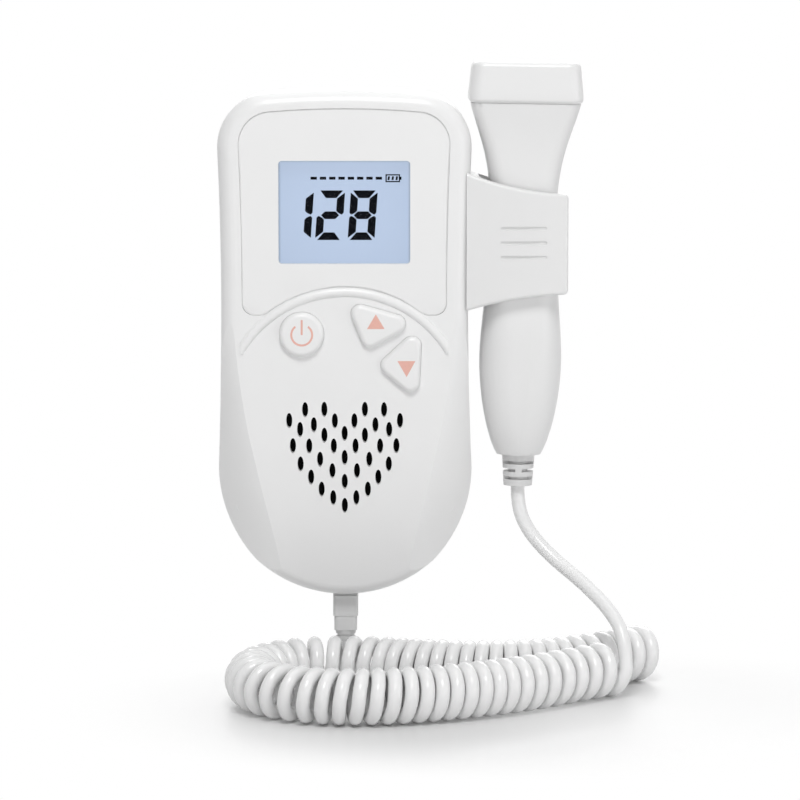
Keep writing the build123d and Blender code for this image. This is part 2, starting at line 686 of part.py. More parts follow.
def speaker_cone():
    """Paper cone with its dust dome."""
    top = INNER_FRONT - CLOTH_THICKNESS - 0.6
    outer = SPEAKER_RADIUS - SPEAKER_RIM - 0.2
    profile = Polyline(
        (outer, top), (outer, top - 0.4), (4.0, top - 2.6), (0, top - 2.0), (0, top - 1.6),
        (4.0, top - 2.2), close=True,
    )
    return Pos(0, SPEAKER_CENTRE) * revolve(Plane.XZ * make_face(profile), Axis.Z)


def speaker_magnet():
    """Magnet pot under the basket."""
    seat = INNER_FRONT - CLOTH_THICKNESS - 0.2 - SPEAKER_DEPTH
    pot = rod(MAGNET_RADIUS, 0, SPEAKER_CENTRE, seat - MAGNET_DEPTH, seat)
    return chamfer(pot.edges().filter_by(GeomType.CIRCLE), 0.6)


def grille_cloth():
    """Thin dust cloth between the holes and the speaker."""
    top = INNER_FRONT - 0.1
    cloth = rod(CLOTH_RADIUS, 0, SPEAKER_CENTRE, top - CLOTH_THICKNESS, top)
    return cloth & block(-BODY_WIDTH, BODY_WIDTH, CLOTH_BOTTOM, BODY_HEIGHT, 0, BODY_DEPTH)


# ---------------------------------------------------------------- board and what it carries
def circuit_board():
    """Main board, cut round the speaker and drilled for the posts."""
    face = body_outline(BOARD_INSET)
    low = Pos(0, SOCKET_TOP - 12 - 25) * Rectangle(100, 50)
    face = Sketch() + face - low - Pos(0, SPEAKER_CENTRE) * Circle(SPEAKER_RADIUS + BOARD_HOLE_CLEARANCE)
    for x, y in both_sides(CASE_POSTS):
        face -= Pos(x, y) * Circle(CASE_POST_RADIUS + FIT)
    for x, y in both_sides(BOARD_POSTS):
        face -= Pos(x, y) * Circle(SCREW_RADIUS + FIT / 2)
    return slab(face, BOARD_TOP - BOARD_THICKNESS, BOARD_TOP)


def screw(length):
    """A plain screw on its own axis: head below z = 0, shank above it."""
    return rod(SCREW_HEAD_RADIUS, 0, 0, -SCREW_HEAD_HEIGHT, 0) + rod(SCREW_RADIUS, 0, 0, 0, length)


def board_screws():
    """Four screws through the board into the front shell's posts."""
    seat = BOARD_TOP - BOARD_THICKNESS
    return group(Pos(x, y, seat) * screw(BOARD_SCREW_LENGTH) for x, y in both_sides(BOARD_POSTS))


def case_screws():
    """Four screws through the rear shell into the front shell."""
    return group(Pos(x, y, CASE_SCREW_SEAT) * screw(CASE_SCREW_LENGTH) for x, y in both_sides(CASE_POSTS))


def tact_switches():
    """One push switch on the board under each button."""
    top = button_bottom() - BUTTON_TRAVEL - TRAVEL_RESERVE
    switches = []
    for x, y in STEM_PLACES.values():
        half = SWITCH_SIZE / 2
        body = block(x - half, x + half, y - half, y + half, BOARD_TOP, BOARD_TOP + SWITCH_BODY_HEIGHT)
        body = chamfer(body.edges().filter_by(Axis.Z), 0.6)
        switches.append(body + rod(SWITCH_PLUNGER_RADIUS, x, y, BOARD_TOP + 1, top))
    return group(switches)


def button_bottom():
    """Height of the lower end of a button's stem at rest."""
    return INNER_FRONT - BUTTON_CLEARANCE - BUTTON_FLANGE_THICKNESS - BUTTON_STEM_LENGTH


def button(name):
    """A cap with a rounded edge, a flange that keeps it in the shell and a stem."""
    outline = BUTTONS[name]
    x, y = STEM_PLACES[name]
    flange_top = INNER_FRONT - BUTTON_CLEARANCE
    flange_bottom = flange_top - BUTTON_FLANGE_THICKNESS
    cap = slab(outline(), flange_bottom, BODY_DEPTH + BUTTON_PROUD)
    cap = fillet(cap.edges().group_by(Axis.Z)[-1], BUTTON_EDGE_RADIUS)
    cap += slab(outline(BUTTON_FLANGE), flange_bottom, flange_top)
    return cap + rod(BUTTON_STEM_RADIUS, x, y, button_bottom(), flange_bottom + EPS)


# ---------------------------------------------------------------- battery pieces
CELL_LOW = TRAY_BOTTOM + 2 * CONTACT_THICKNESS
CELL_HEIGHT = DOOR_RECESS + CELL_FLOOR_GAP + CELL_RADIUS
CELL_X = CELL_RADIUS + CELL_GAP / 2


def cell(side):
    """One AA cell; the right one stands the other way up."""
    can_length = CELL_LENGTH - CELL_NUB_LENGTH
    can = rod(CELL_RADIUS, 0, 0, 0, can_length)
    can = chamfer(can.edges().filter_by(GeomType.CIRCLE), 0.5)
    body = can + rod(CELL_NUB_RADIUS, 0, 0, can_length - EPS, CELL_LENGTH)
    top = TRAY_BOTTOM + TRAY_LENGTH - 2 * CONTACT_THICKNESS
    if side > 0:
        stand = Pos(CELL_X, CELL_LOW + CELL_LENGTH, CELL_HEIGHT) * Rot(90, 0, 0)
    else:
        stand = Pos(-CELL_X, top - CELL_LENGTH, CELL_HEIGHT) * Rot(-90, 0, 0)
    return stand * body


def battery_contacts():
    """A leaf at each end of each cell, standing against the tray's end walls."""
    leaves = []
    half = CONTACT_WIDTH / 2
    top = TRAY_BOTTOM + TRAY_LENGTH - CONTACT_THICKNESS / 2
    for x in (CELL_X, -CELL_X):
        for y in (TRAY_BOTTOM + CONTACT_THICKNESS / 2, top):
            leaf = Box(2 * half, CONTACT_THICKNESS, 2 * half)
            leaves.append(Pos(x, y, CELL_HEIGHT) * leaf)
    return group(leaves)


def battery_springs():
    """A coil spring at the flat end of each cell."""
    leaf = TRAY_BOTTOM + CONTACT_THICKNESS
    room = TRAY_LENGTH - CELL_LENGTH - 3 * CONTACT_THICKNESS
    height = room - 2 * SPRING_WIRE_RADIUS - 0.2
    path = Helix(height / SPRING_TURNS, height, SPRING_RADIUS)
    section = Plane(origin=path @ 0, z_dir=path % 0) * RegularPolygon(SPRING_WIRE_RADIUS, 4)
    spring = sweep(section, path=path, is_frenet=True)
    low_start = leaf + SPRING_WIRE_RADIUS + 0.1
    high_start = TRAY_BOTTOM + TRAY_LENGTH - CONTACT_THICKNESS - SPRING_WIRE_RADIUS - 0.1
    left = Pos(-CELL_X, low_start, CELL_HEIGHT) * Rot(-90, 0, 0) * spring
    right = Pos(CELL_X, high_start, CELL_HEIGHT) * Rot(90, 0, 0) * spring
    return group([left, right])


def battery_door():
    """Door with two tongues at its upper edge, a sprung latch at the lower one and grip ribs."""
    half = tray_half_width(DOOR_MARGIN - DOOR_GAP)
    low = TRAY_BOTTOM - DOOR_MARGIN + DOOR_GAP
    door = block(-half, half, low, HINGE_Y - DOOR_GAP, 0, DOOR_THICKNESS)
    door = fillet(door.edges().filter_by(Axis.Z), 1.0)
    for side in (1, -1):
        door += tongue(side, 0)
    latch_low = low + LATCH_GAP
    half_latch = LATCH_WIDTH / 2
    finger_top = DOOR_THICKNESS + LATCH_DEPTH
    latch_high = latch_low + LATCH_THICKNESS
    door += block(-half_latch, half_latch, latch_low, latch_high, DOOR_THICKNESS - EPS, finger_top)
    for number in range(GRIP_COUNT):
        y = low + 6 + number * GRIP_PITCH
        door -= Pos(0, y, 0) * Rot(0, 90, 0) * Cylinder(GRIP_WIDTH / 2, GRIP_LENGTH)
    return door


# ---------------------------------------------------------------- sockets
def headphone_jack():
    """Jack body inside the left wall, with a round nose in the wall's hole."""
    length, width, height = JACK_BODY
    wall_inside = -side_x(JACK_PLACE) + WALL + FIT
    body = block(wall_inside, wall_inside + length, -width / 2, width / 2, -height / 2, height / 2)
    nose_length = WALL + FIT
    nose = Rot(0, 90, 0) * rod(JACK_NOSE_RADIUS, 0, 0, 0, nose_length + EPS)
    bore = Rot(0, 90, 0) * rod(JACK_BORE_RADIUS, 0, 0, -1, JACK_BORE_LENGTH)
    start = Pos(wall_inside - nose_length, 0, 0)
    return Pos(0, JACK_PLACE, JACK_HEIGHT) * (body + start * nose - start * bore)


def probe_socket():
    """Modular socket under the board, open at the lower end."""
    width, length, height = SOCKET_OUTER
    mouth = SOCKET_TOP - length
    outer = Box(width, length, height, align=(Align.CENTER, Align.MIN, Align.CENTER))
    inner_width = PLUG_WIDTH + 2 * PLUG_CLEARANCE
    inner_height = PLUG_THICKNESS + 2 * PLUG_CLEARANCE
    depth = length - SOCKET_WALL + 1
    cavity = Box(inner_width, depth, inner_height, align=(Align.CENTER, Align.MIN, Align.CENTER))
    return Pos(0, mouth, SOCKET_HEIGHT) * (outer - Pos(0, -1, 0) * cavity)


def blade_places():
    """Places of the plug's blades across the unit."""
    return [(number - (CONTACT_BLADES - 1) / 2) * BLADE_PITCH for number in range(CONTACT_BLADES)]


def socket_contacts():
    """Spring wires that meet the plug's blades."""
    height = SOCKET_HEIGHT + PLUG_THICKNESS / 2 + PLUG_CLEARANCE - 0.1
    low, high = PLUG_NOSE_TOP - 5, SOCKET_TOP - SOCKET_WALL
    wires = [block(x - 0.2, x + 0.2, low, high, height - 0.1, height + 0.1) for x in blade_places()]
    return group(wires)


# ---------------------------------------------------------------- plug
def plug_block(width, thickness, low, high, corner):
    """A rounded block of the plug, along the unit's length."""
    across = Plane(origin=(0, low, SOCKET_HEIGHT), x_dir=(1, 0, 0), z_dir=(0, 1, 0))
    return extrude(across * RectangleRounded(width, thickness, corner), high - low)


def plug_nose():
    """Modular plug: body with a groove for each blade and its locking latch."""
    nose = plug_block(PLUG_WIDTH, PLUG_THICKNESS, PLUG_NOSE_BOTTOM, PLUG_NOSE_TOP, 0.3)
    top = SOCKET_HEIGHT + PLUG_THICKNESS / 2
    half = BLADE_WIDTH / 2
    for x in blade_places():
        nose -= block(x - half, x + half, PLUG_NOSE_TOP - 6, PLUG_NOSE_TOP + 1, top - 1.4, top + 1)
    return nose


def plug_contacts():
    """Gold blades in the plug's grooves."""
    top = SOCKET_HEIGHT + PLUG_THICKNESS / 2
    half = BLADE_WIDTH / 2 - THREAD_GAP
    low, high = PLUG_NOSE_TOP - 5.5, PLUG_NOSE_TOP - 0.5
    return group(block(x - half, x + half, low, high, top - 1.35, top - 0.3) for x in blade_places())


def plug_overmould():
    """Grey block behind the modular plug."""
    top = PLUG_NOSE_BOTTOM - THREAD_GAP
    return plug_block(PLUG_WIDTH, OVERMOULD_THICKNESS, OVERMOULD_BOTTOM, top, 0.9)


def plug_boot():
    """Flexible boot: a block, a groove and a tapering sleeve with rings."""
    block_top = OVERMOULD_BOTTOM - THREAD_GAP
    top = plug_block(BOOT_WIDTH, BOOT_WIDTH - 0.4, BOOT_RING_BOTTOM, block_top, 1.2)
    neck_radius = CORD_DIAMETER / 2 + 0.5
    along = Pos(0, BOOT_BOTTOM, SOCKET_HEIGHT) * Rot(-90, 0, 0)
    length = BOOT_RING_BOTTOM - BOOT_BOTTOM
    standing = (Align.CENTER, Align.CENTER, Align.MIN)
    sleeve = Cone(neck_radius, neck_radius + 0.5, length + 0.2, align=standing)
    for number in range(2):
        ring = rod(5, 0, 0, 0, 0.7) - rod(neck_radius - 0.1, 0, 0, -1, 2)
        sleeve -= Pos(0, 0, 1.1 + 1.6 * number) * ring
    return top + along * sleeve


# ---------------------------------------------------------------- side clip
def probe_holder():
    """U-shaped clip: a web on the unit's side and two sprung arms, open to the right."""
    gap = PROBE_SECTIONS[4][2] + CLIP_PROBE_GAP
    front_inner = PROBE_Y - gap
    rear_inner = PROBE_Y + gap
    front_outer = front_inner - CLIP_ARM
    rear_outer = rear_inner + CLIP_ARM
    middle = (CLIP_LEFT + CLIP_RIGHT) / 2
    front_arc = ThreePointArc(
        (CLIP_LEFT, front_outer), (middle, front_outer - CLIP_BOW), (CLIP_RIGHT, front_outer)
    )
    line = Polyline(
        (CLIP_RIGHT, front_outer), (CLIP_RIGHT, front_inner), (CLIP_WEB_RIGHT, front_inner),
        (CLIP_WEB_RIGHT, rear_inner), (CLIP_RIGHT - 2.0, rear_inner), (CLIP_RIGHT - 2.0, rear_outer),
        (CLIP_LEFT, rear_outer), (CLIP_LEFT, front_outer),
    )
    plan = closed_face(front_arc, line)
    tips = [v for v in plan.vertices() if v.X > CLIP_RIGHT - 2.1 and v.Y > front_outer + EPS]
    plan = fillet(tips, CLIP_ARM / 2 - 0.1)
    inner = [v for v in plan.vertices() if abs(v.X - CLIP_WEB_RIGHT) < EPS]
    plan = fillet(inner, 1.5)
    clip = extrude(plan, BODY_HEIGHT / 2)

    top = ThreePointArc(*CLIP_TOP_POINTS)
    low = ThreePointArc(*CLIP_BOTTOM_POINTS)
    edge = Line(CLIP_TOP_POINTS[-1], CLIP_BOTTOM_POINTS[0])
    close = Line(CLIP_BOTTOM_POINTS[-1], CLIP_TOP_POINTS[0])
    view = closed_face(top, edge, low, close)
    view = fillet([v for v in view.vertices() if v.X > CLIP_RIGHT - 1], CLIP_CORNER_RADIUS)
    clip = clip & extrude(Plane.XZ * view, BODY_WIDTH, both=True)
    front_face = clip.faces().sort_by(Axis.Y)[0]
    front_edges = [e for e in front_face.edges() if e.center().X > CLIP_LEFT + 1]
    clip = fillet(front_edges, CLIP_EDGE_RADIUS)

    unit = slab(body_outline(-CLIP_SEAT_GAP), -1, BODY_DEPTH + CLIP_SEAT_GAP)
    unit = fillet(unit.edges().group_by(Axis.Z)[-1], RIM_RADIUS)
    clip -= UPRIGHT * unit

    length = GROOVE_RIGHT - GROOVE_LEFT
    for z in GROOVES:
        slot = Pos((GROOVE_LEFT + GROOVE_RIGHT) / 2, z) * SlotOverall(length, GROOVE_WIDTH)
        floor = Plane.XZ.offset(-(front_outer - CLIP_BOW + GROOVE_DEPTH))
        clip -= extrude(floor * slot, 5)
    for z in CLIP_SCREW_PLACES:
        hole = Cylinder(SCREW_RADIUS + THREAD_GAP, 2 * CLIP_SCREW_LENGTH)
        clip -= Pos(side_x(z), -CLIP_SCREW_HEIGHT, z) * Rot(0, 90, 0) * hole
    return clip


def holder_screws():
    """Two screws from inside the rear shell into the clip's web."""
    screws = []
    for y in CLIP_SCREW_PLACES:
        seat = side_x(y) - WALL - THREAD_GAP
        screws.append(Pos(seat, y, CLIP_SCREW_HEIGHT) * Rot(0, 90, 0) * screw(CLIP_SCREW_LENGTH))
    return group(screws)


# ---------------------------------------------------------------- probe
PLACE_PROBE = Pos(PROBE_X, PROBE_Y, PROBE_PIVOT) * Rot(0, PROBE_LEAN, 0) * Pos(0, 0, -PROBE_PIVOT)


def probe_form():
    """The probe's flowing body through its sections."""
    return loft([
        Pos(0, 0, z) * RectangleRounded(2 * half_width, 2 * half_depth, corner)
        for z, half_width, half_depth, corner in PROBE_SECTIONS
    ])


def probe_hollow():
    """The space inside the probe, straight between some of its sections."""
    faces = []
    for number in HOLLOW_SECTIONS:
        z, half_width, half_depth, corner = PROBE_SECTIONS[number]
        z = min(max(z, PROBE_BOTTOM + PROBE_WALL), PROBE_TOP - PROBE_WALL)
        section = RectangleRounded(
            2 * (half_width - PROBE_WALL), 2 * (half_depth - PROBE_WALL), corner - PROBE_WALL
        )
        faces.append(Pos(0, 0, z) * section)
    return loft(faces, ruled=True)


def probe_posts(front):
    """Screw posts across the inside of the probe, one half of each in each shell."""
    posts = []
    for z in PROBE_SCREW_PLACES:
        turn = Rot(90, 0, 0) if front else Rot(-90, 0, 0)
        posts.append(Pos(0, 0, z) * turn * rod(PROBE_POST_RADIUS, 0, 0, PROBE_SPLIT_GAP / 2, 20))
    return posts


def probe_shell(front):
    """One half of the probe's body, with its posts and the seat of the strain relief."""
    outer = probe_form()
    side = -1 if front else 1
    near = side * PROBE_SPLIT_GAP / 2
    y0, y1 = sorted((near, side * 40))
    half_space = block(-40, 40, y0, y1, PROBE_BOTTOM - 10, PROBE_TOP + 10)
    shell = (outer - probe_hollow()) & half_space
    shell -= rod(RELIEF_NECK_RADIUS + LIP_GAP, 0, 0, PROBE_BOTTOM - 1, PROBE_BOTTOM + PROBE_WALL + 1)
    opening = RectangleRounded(2 * (HEAD_FACE[0] - 4), 2 * (HEAD_FACE[1] - 4), 2)
    shell -= slab(opening, PROBE_TOP - PROBE_WALL - 1, PROBE_TOP + 1)
    for post in probe_posts(front):
        shell += post & outer
    for z in PROBE_SCREW_PLACES:
        seat = screw_seat(z)
        if front:
            hole = rod(SCREW_RADIUS + THREAD_GAP, 0, 0, -1, PROBE_SCREW_LENGTH - seat + 0.5)
            shell -= Pos(0, 0, z) * Rot(90, 0, 0) * hole
        else:
            hole = rod(SCREW_RADIUS + FIT / 2, 0, 0, -1, 20)
            head = rod(SCREW_HEAD_RADIUS + FIT / 2, 0, 0, seat, 20)
            shell -= Pos(0, 0, z) * Rot(-90, 0, 0) * hole
            shell -= Pos(0, 0, z) * Rot(-90, 0, 0) * head
    return shell


def screw_seat(z):
    """Depth, behind the probe's middle plane, of the face under a probe screw's head."""
    return 5.0 if z > 0 else 4.0


def probe_screws():
    """Two screws that hold the probe's halves."""
    screws = []
    for z in PROBE_SCREW_PLACES:
        screws.append(Pos(0, screw_seat(z), z) * Rot(90, 0, 0) * screw(PROBE_SCREW_LENGTH))
    return group(screws)


def head_section(size, z, inset=0.0):
    """Rounded rectangle of the head at a place along the probe."""
    half_width, half_depth, corner = size
    face = RectangleRounded(2 * (half_width - inset), 2 * (half_depth - inset), max(corner - inset, 0.5))
    return Pos(0, 0, z) * face


def probe_head_cap():
    """Head cap with the acoustic face, hollow for the crystals."""
    rim_top = HEAD_BOTTOM + HEAD_RIM_HEIGHT
    cap = extrude(head_section(HEAD_RIM, HEAD_BOTTOM), HEAD_RIM_HEIGHT)
    cap += loft([head_section(HEAD_RIM, rim_top), head_section(HEAD_FACE, HEAD_TOP)])
    cap = fillet(cap.edges().group_by(Axis.Z)[-1], HEAD_EDGE_RADIUS)
    cap = fillet(cap.edges().group_by(Axis.Z)[0], HEAD_LIP_RADIUS)
    cap -= loft([
        head_section(HEAD_RIM, HEAD_BOTTOM - 1, PROBE_WALL),
        head_section(HEAD_FACE, HEAD_TOP - FACE_THICKNESS, PROBE_WALL),
    ])
    return cap


def transducer_crystals():
    """Two half-round crystals, one to send and one to listen, behind the acoustic face."""
    top = HEAD_TOP - FACE_THICKNESS - 0.1
    disc = rod(CRYSTAL_RADIUS, 0, 0, top - CRYSTAL_THICKNESS, top)
    right = disc & block(CRYSTAL_SPLIT / 2, 20, -20, 20, 0, HEAD_TOP)
    left = disc & block(-20, -CRYSTAL_SPLIT / 2, -20, 20, 0, HEAD_TOP)
    return group([right, left])


def transducer_backing():
    """Sound-absorbing block that carries the crystals and fills the cap."""
    top = HEAD_TOP - FACE_THICKNESS - CRYSTAL_THICKNESS - 0.2
    size = (HEAD_FACE[0] - PROBE_WALL - FIT, HEAD_FACE[1] - PROBE_WALL - FIT, 2.0)
    return slab(RectangleRounded(2 * size[0], 2 * size[1], size[2]), top - BACKING_THICKNESS, top)


def probe_board():
    """Narrow board along the probe, held between the side walls."""
    y = PROBE_BOARD_DEPTH
    half = PROBE_BOARD_HALF_WIDTH
    top = PROBE_BOARD_BOTTOM + PROBE_BOARD_LENGTH
    board = block(-half, half, -y - BOARD_THICKNESS, -y, PROBE_BOARD_BOTTOM, top)
    for z in PROBE_SCREW_PLACES:
        board -= Pos(0, 0, z) * Rot(90, 0, 0) * Cylinder(PROBE_POST_RADIUS + FIT, 20)
    return board


def probe_strain_relief():
    """Grooved sleeve that guides the cord out of the probe."""
    length = PROBE_BOTTOM - RELIEF_BOTTOM - PROBE_SPLIT_GAP
    sleeve = Pos(0, 0, RELIEF_BOTTOM) * Cone(
        RELIEF_BOTTOM_RADIUS, RELIEF_TOP_RADIUS, length, align=(Align.CENTER, Align.CENTER, Align.MIN)
    )
    pitch = length / (RELIEF_RINGS + 1)
    spine = block(-10, 10, -RELIEF_SPINE, RELIEF_SPINE, -1, 1)
    for number in range(RELIEF_RINGS):
        z = RELIEF_BOTTOM + pitch * (number + 1)
        ring = rod(10, 0, 0, z - RELIEF_GROOVE / 2, z + RELIEF_GROOVE / 2)
        ring -= rod(RELIEF_BOTTOM_RADIUS - RELIEF_GROOVE_DEPTH, 0, 0, z - 1, z + 1)
        # the bridges between the rings stand at the sides and at the front by turns
        sleeve -= ring - Pos(0, 0, z) * Rot(0, 0, 90 * (number % 2)) * spine
    neck_top = PROBE_BOTTOM + PROBE_WALL + PROBE_SPLIT_GAP
    sleeve += rod(RELIEF_NECK_RADIUS, 0, 0, PROBE_BOTTOM - 0.2, neck_top + EPS)
    sleeve += rod(RELIEF_NECK_RADIUS + RELIEF_FLANGE, 0, 0, neck_top, neck_top + 1.2)
    return sleeve


# ---------------------------------------------------------------- cord
def soft_path(points, name):
    """Straight runs joined by tangent arcs as large as the runs allow."""
    vectors = [Vector(*p) for p in points]
    radii = []
    for before, here, after in zip(vectors, vectors[1:], vectors[2:]):
        turn = (here - before).get_angle(after - here)
        shorter = min((here - before).length, (after - here).length)
        radii.append(0.45 * shorter / tan(radians(turn) / 2))
    print(name, "radii", [round(r, 1) for r in radii])
    return FilletPolyline(*vectors, radius=radii)


def soft_tube(points, diameter, name):
    """A round tube along a soft path; its volume is compared with section times length."""
    path = soft_path(points, name)
    section = Plane(origin=path @ 0, z_dir=path % 0) * Circle(diameter / 2)
    tube = sweep(section, path=path)
    expected = section.area * path.length
    print(name, "length", round(path.length, 1), "volume ratio", round(tube.volume / expected, 4))
    return tube


def probe_lead_start():
    """Where the cord leaves the strain relief, and its first point, on the probe's leaning axis."""
    places = (RELIEF_BOTTOM - THREAD_GAP, RELIEF_BOTTOM - PROBE_LEAD_STRAIGHT)
    points = [(PLACE_PROBE * Pos(0, 0, z)).position for z in places]
    return [(point.X, point.Y, point.Z) for point in points]


# ---------------------------------------------------------------- write every node
UNIT_PIECES = {
    "front_shell": front_shell(),
    "rear_shell": rear_shell(),
    "screen_panel": screen_panel(),
    "lcd_lens": lcd_lens(),
    "lcd_glass": lcd_glass(),
    "lcd_backlight": lcd_backlight(),
    "circuit_board": circuit_board(),
    "board_screws": board_screws(),
    "case_screws": case_screws(),
    "tact_switches": tact_switches(),
    "grille_cloth": grille_cloth(),
    "speaker_frame": speaker_frame(),
    "speaker_cone": speaker_cone(),
    "speaker_magnet": speaker_magnet(),
    "battery_cells": group([cell(1), cell(-1)]),
    "battery_contacts": battery_contacts(),
    "battery_springs": battery_springs(),
    "battery_door": battery_door(),
    "headphone_jack": headphone_jack(),
    "probe_socket": probe_socket(),
    "socket_contacts": socket_contacts(),
    "plug_nose": plug_nose(),
    "plug_contacts": plug_contacts(),
    "plug_overmould": plug_overmould(),
    "plug_boot": plug_boot(),
    "holder_screws": holder_screws(),
}
for button_name in BUTTONS:
    UNIT_PIECES[button_name] = button(button_name)

PROBE_PIECES = {
    "probe_front_shell": probe_shell(True),
    "probe_rear_shell": probe_shell(False),
    "probe_head_cap": probe_head_cap(),
    "transducer_crystals": transducer_crystals(),
    "transducer_backing": transducer_backing(),
    "probe_board": probe_board(),
    "probe_screws": probe_screws(),
    "probe_strain_relief": probe_strain_relief(),
}

CORD_PIECES = {
    "curly_coil": soft_tube([(x, y, COIL_Z) for x, y in COIL_POINTS], COIL_DIAMETER, "curly_coil"),
    "plug_lead": soft_tube(PLUG_LEAD_POINTS, CORD_DIAMETER, "plug_lead"),
    "probe_lead": soft_tube(probe_lead_start() + PROBE_LEAD_POINTS, CORD_DIAMETER, "probe_lead"),
}

os.makedirs("parts", exist_ok=True)
for node, piece in UNIT_PIECES.items():
    save(UPRIGHT * piece, node)
for node, piece in PROBE_PIECES.items():
    save(PLACE_PROBE * piece, node)
for node, piece in CORD_PIECES.items():
    save(piece, node)
save(probe_holder(), "probe_holder")
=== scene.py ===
import math

import bpy
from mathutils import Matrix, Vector


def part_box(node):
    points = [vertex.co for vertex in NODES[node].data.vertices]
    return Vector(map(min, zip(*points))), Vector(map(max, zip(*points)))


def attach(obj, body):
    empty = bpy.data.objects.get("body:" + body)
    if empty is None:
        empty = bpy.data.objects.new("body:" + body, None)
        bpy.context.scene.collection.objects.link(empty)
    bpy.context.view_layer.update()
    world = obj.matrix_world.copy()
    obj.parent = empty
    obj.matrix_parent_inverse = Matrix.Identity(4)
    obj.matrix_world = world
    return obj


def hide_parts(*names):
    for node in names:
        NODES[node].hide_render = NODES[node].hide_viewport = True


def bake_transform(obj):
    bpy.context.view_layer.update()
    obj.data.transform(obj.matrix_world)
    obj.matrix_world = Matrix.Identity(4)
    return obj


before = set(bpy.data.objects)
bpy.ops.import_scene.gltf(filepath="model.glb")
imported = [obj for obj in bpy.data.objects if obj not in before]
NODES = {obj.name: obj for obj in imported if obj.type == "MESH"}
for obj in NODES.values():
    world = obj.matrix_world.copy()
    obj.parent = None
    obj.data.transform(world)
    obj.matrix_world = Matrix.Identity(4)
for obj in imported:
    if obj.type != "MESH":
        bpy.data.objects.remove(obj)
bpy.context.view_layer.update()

bl_info = {
    "name": "Fetal doppler monitor",
    "version": (1, 0, 0),
    "blender": (4, 5, 0),
    "location": "3D View > Sidebar > Doppler",
    "description": "Builds a fetal doppler monitor with its probe and curly cord around a CAD frame",
    "category": "Object",
}

MM = 0.001

# in millimetres: heights are counted from the unit's middle, which stands this far over the origin
RISE = 35.3
# the surface that the cord lies on, the cord's sizes and the gap that stays under it
SURFACE = -96.1
CORD_DIAMETER = 3.85
COIL_DIAMETER = 15.3
CORD_CLEARANCE = 0.05
COIL_Z = SURFACE + COIL_DIAMETER / 2 + CORD_CLEARANCE
CORD_Z = SURFACE + CORD_DIAMETER / 2 + CORD_CLEARANCE
COIL_POINTS = [
    (83.6, -14.6), (68.5, -26.5), (51.0, -37.0), (27.0, -37.5), (3.0, -29.0), (-14.5, -32.5),
    (-25.4, -46.5), (-24.0, -64.0), (-10.5, -76.5), (8.5, -79.5), (32.5, -70.5), (51.0, -59.0),
    (64.0, -46.0), (73.5, -38.3),
]
PLUG_LEAD_POINTS = [
    (0.0, -15.0, -86.0), (0.0, -15.0, -90.6), (2.6, -12.6, CORD_Z), (9.5, -9.0, CORD_Z),
    (22.0, -6.5, CORD_Z), (40.0, -7.0, CORD_Z), (55.0, -4.5, CORD_Z), (65.5, -3.0, -92.2),
    (73.2, -5.0, -87.4), (79.4, -8.9, -83.4), (84.2, -14.6, -82.7),
]
PROBE_LEAD_POINTS = [
    (48.3317, -15.5, -40.3495), (48.2445, -15.5, -45.8988), (50.9, -17.0, -52.8), (57.5, -20.5, -60.0),
    (66.5, -27.0, -66.5), (74.0, -34.5, -73.5), (77.5, -40.6, -80.3), (77.4, -42.6, -88.4),
]


# ---------------------------------------------------------------- sizes and colours
class DopplerSizes(bpy.types.PropertyGroup):
    """Sizes that a user may change."""

    coil_turns: bpy.props.FloatProperty(
        name="Coil turns", description="Turns of the curly stretch", default=55.75, min=10.0
    )
    cord_length: bpy.props.FloatProperty(
        name="Cord length", description="Whole length of the cord", default=2.18, unit="LENGTH"
    )
    digit_height: bpy.props.FloatProperty(
        name="Digit height", description="Height of the display's large digits", default=0.01366,
        unit="LENGTH",
    )
    digit_slant: bpy.props.FloatProperty(
        name="Digit slant", description="Lean of the display's digits", default=0.069, subtype="ANGLE"
    )
    print_depth: bpy.props.FloatProperty(
        name="Print depth", description="Thickness of printed marks", default=0.00004, unit="LENGTH"
    )


class DopplerColours(bpy.types.PropertyGroup):
    """Colours that a user may change."""

    case: bpy.props.FloatVectorProperty(
        name="Case", description="Unit's housing", subtype="COLOR", size=4, default=(0.84, 0.84, 0.84, 1.0)
    )
    # the probe's white is set a little darker than the case's: painted shade for its neck under the head
    probe: bpy.props.FloatVectorProperty(
        name="Probe", description="Probe's shells", subtype="COLOR", size=4, default=(0.81, 0.81, 0.81, 1.0)
    )
    cord: bpy.props.FloatVectorProperty(
        name="Cord", description="Cord's jacket", subtype="COLOR", size=4, default=(0.84, 0.84, 0.84, 1.0)
    )
    display: bpy.props.FloatVectorProperty(
        name="Display", description="Lit display", subtype="COLOR", size=4, default=(0.455, 0.535, 0.68, 1.0)
    )
    mark: bpy.props.FloatVectorProperty(
        name="Button mark", description="Printed button marks", subtype="COLOR", size=4,
        default=(0.80, 0.45, 0.38, 1.0),
    )
    plug: bpy.props.FloatVectorProperty(
        name="Plug", description="Grey plug", subtype="COLOR", size=4, default=(0.68, 0.68, 0.68, 1.0)
    )
    # the floor's colour shows only round the coil, where its greyness against the white beyond is painted
    # shade
    backdrop: bpy.props.FloatVectorProperty(
        name="Backdrop", description="Floor", subtype="COLOR", size=4, default=(0.78, 0.78, 0.78, 1.0)
    )


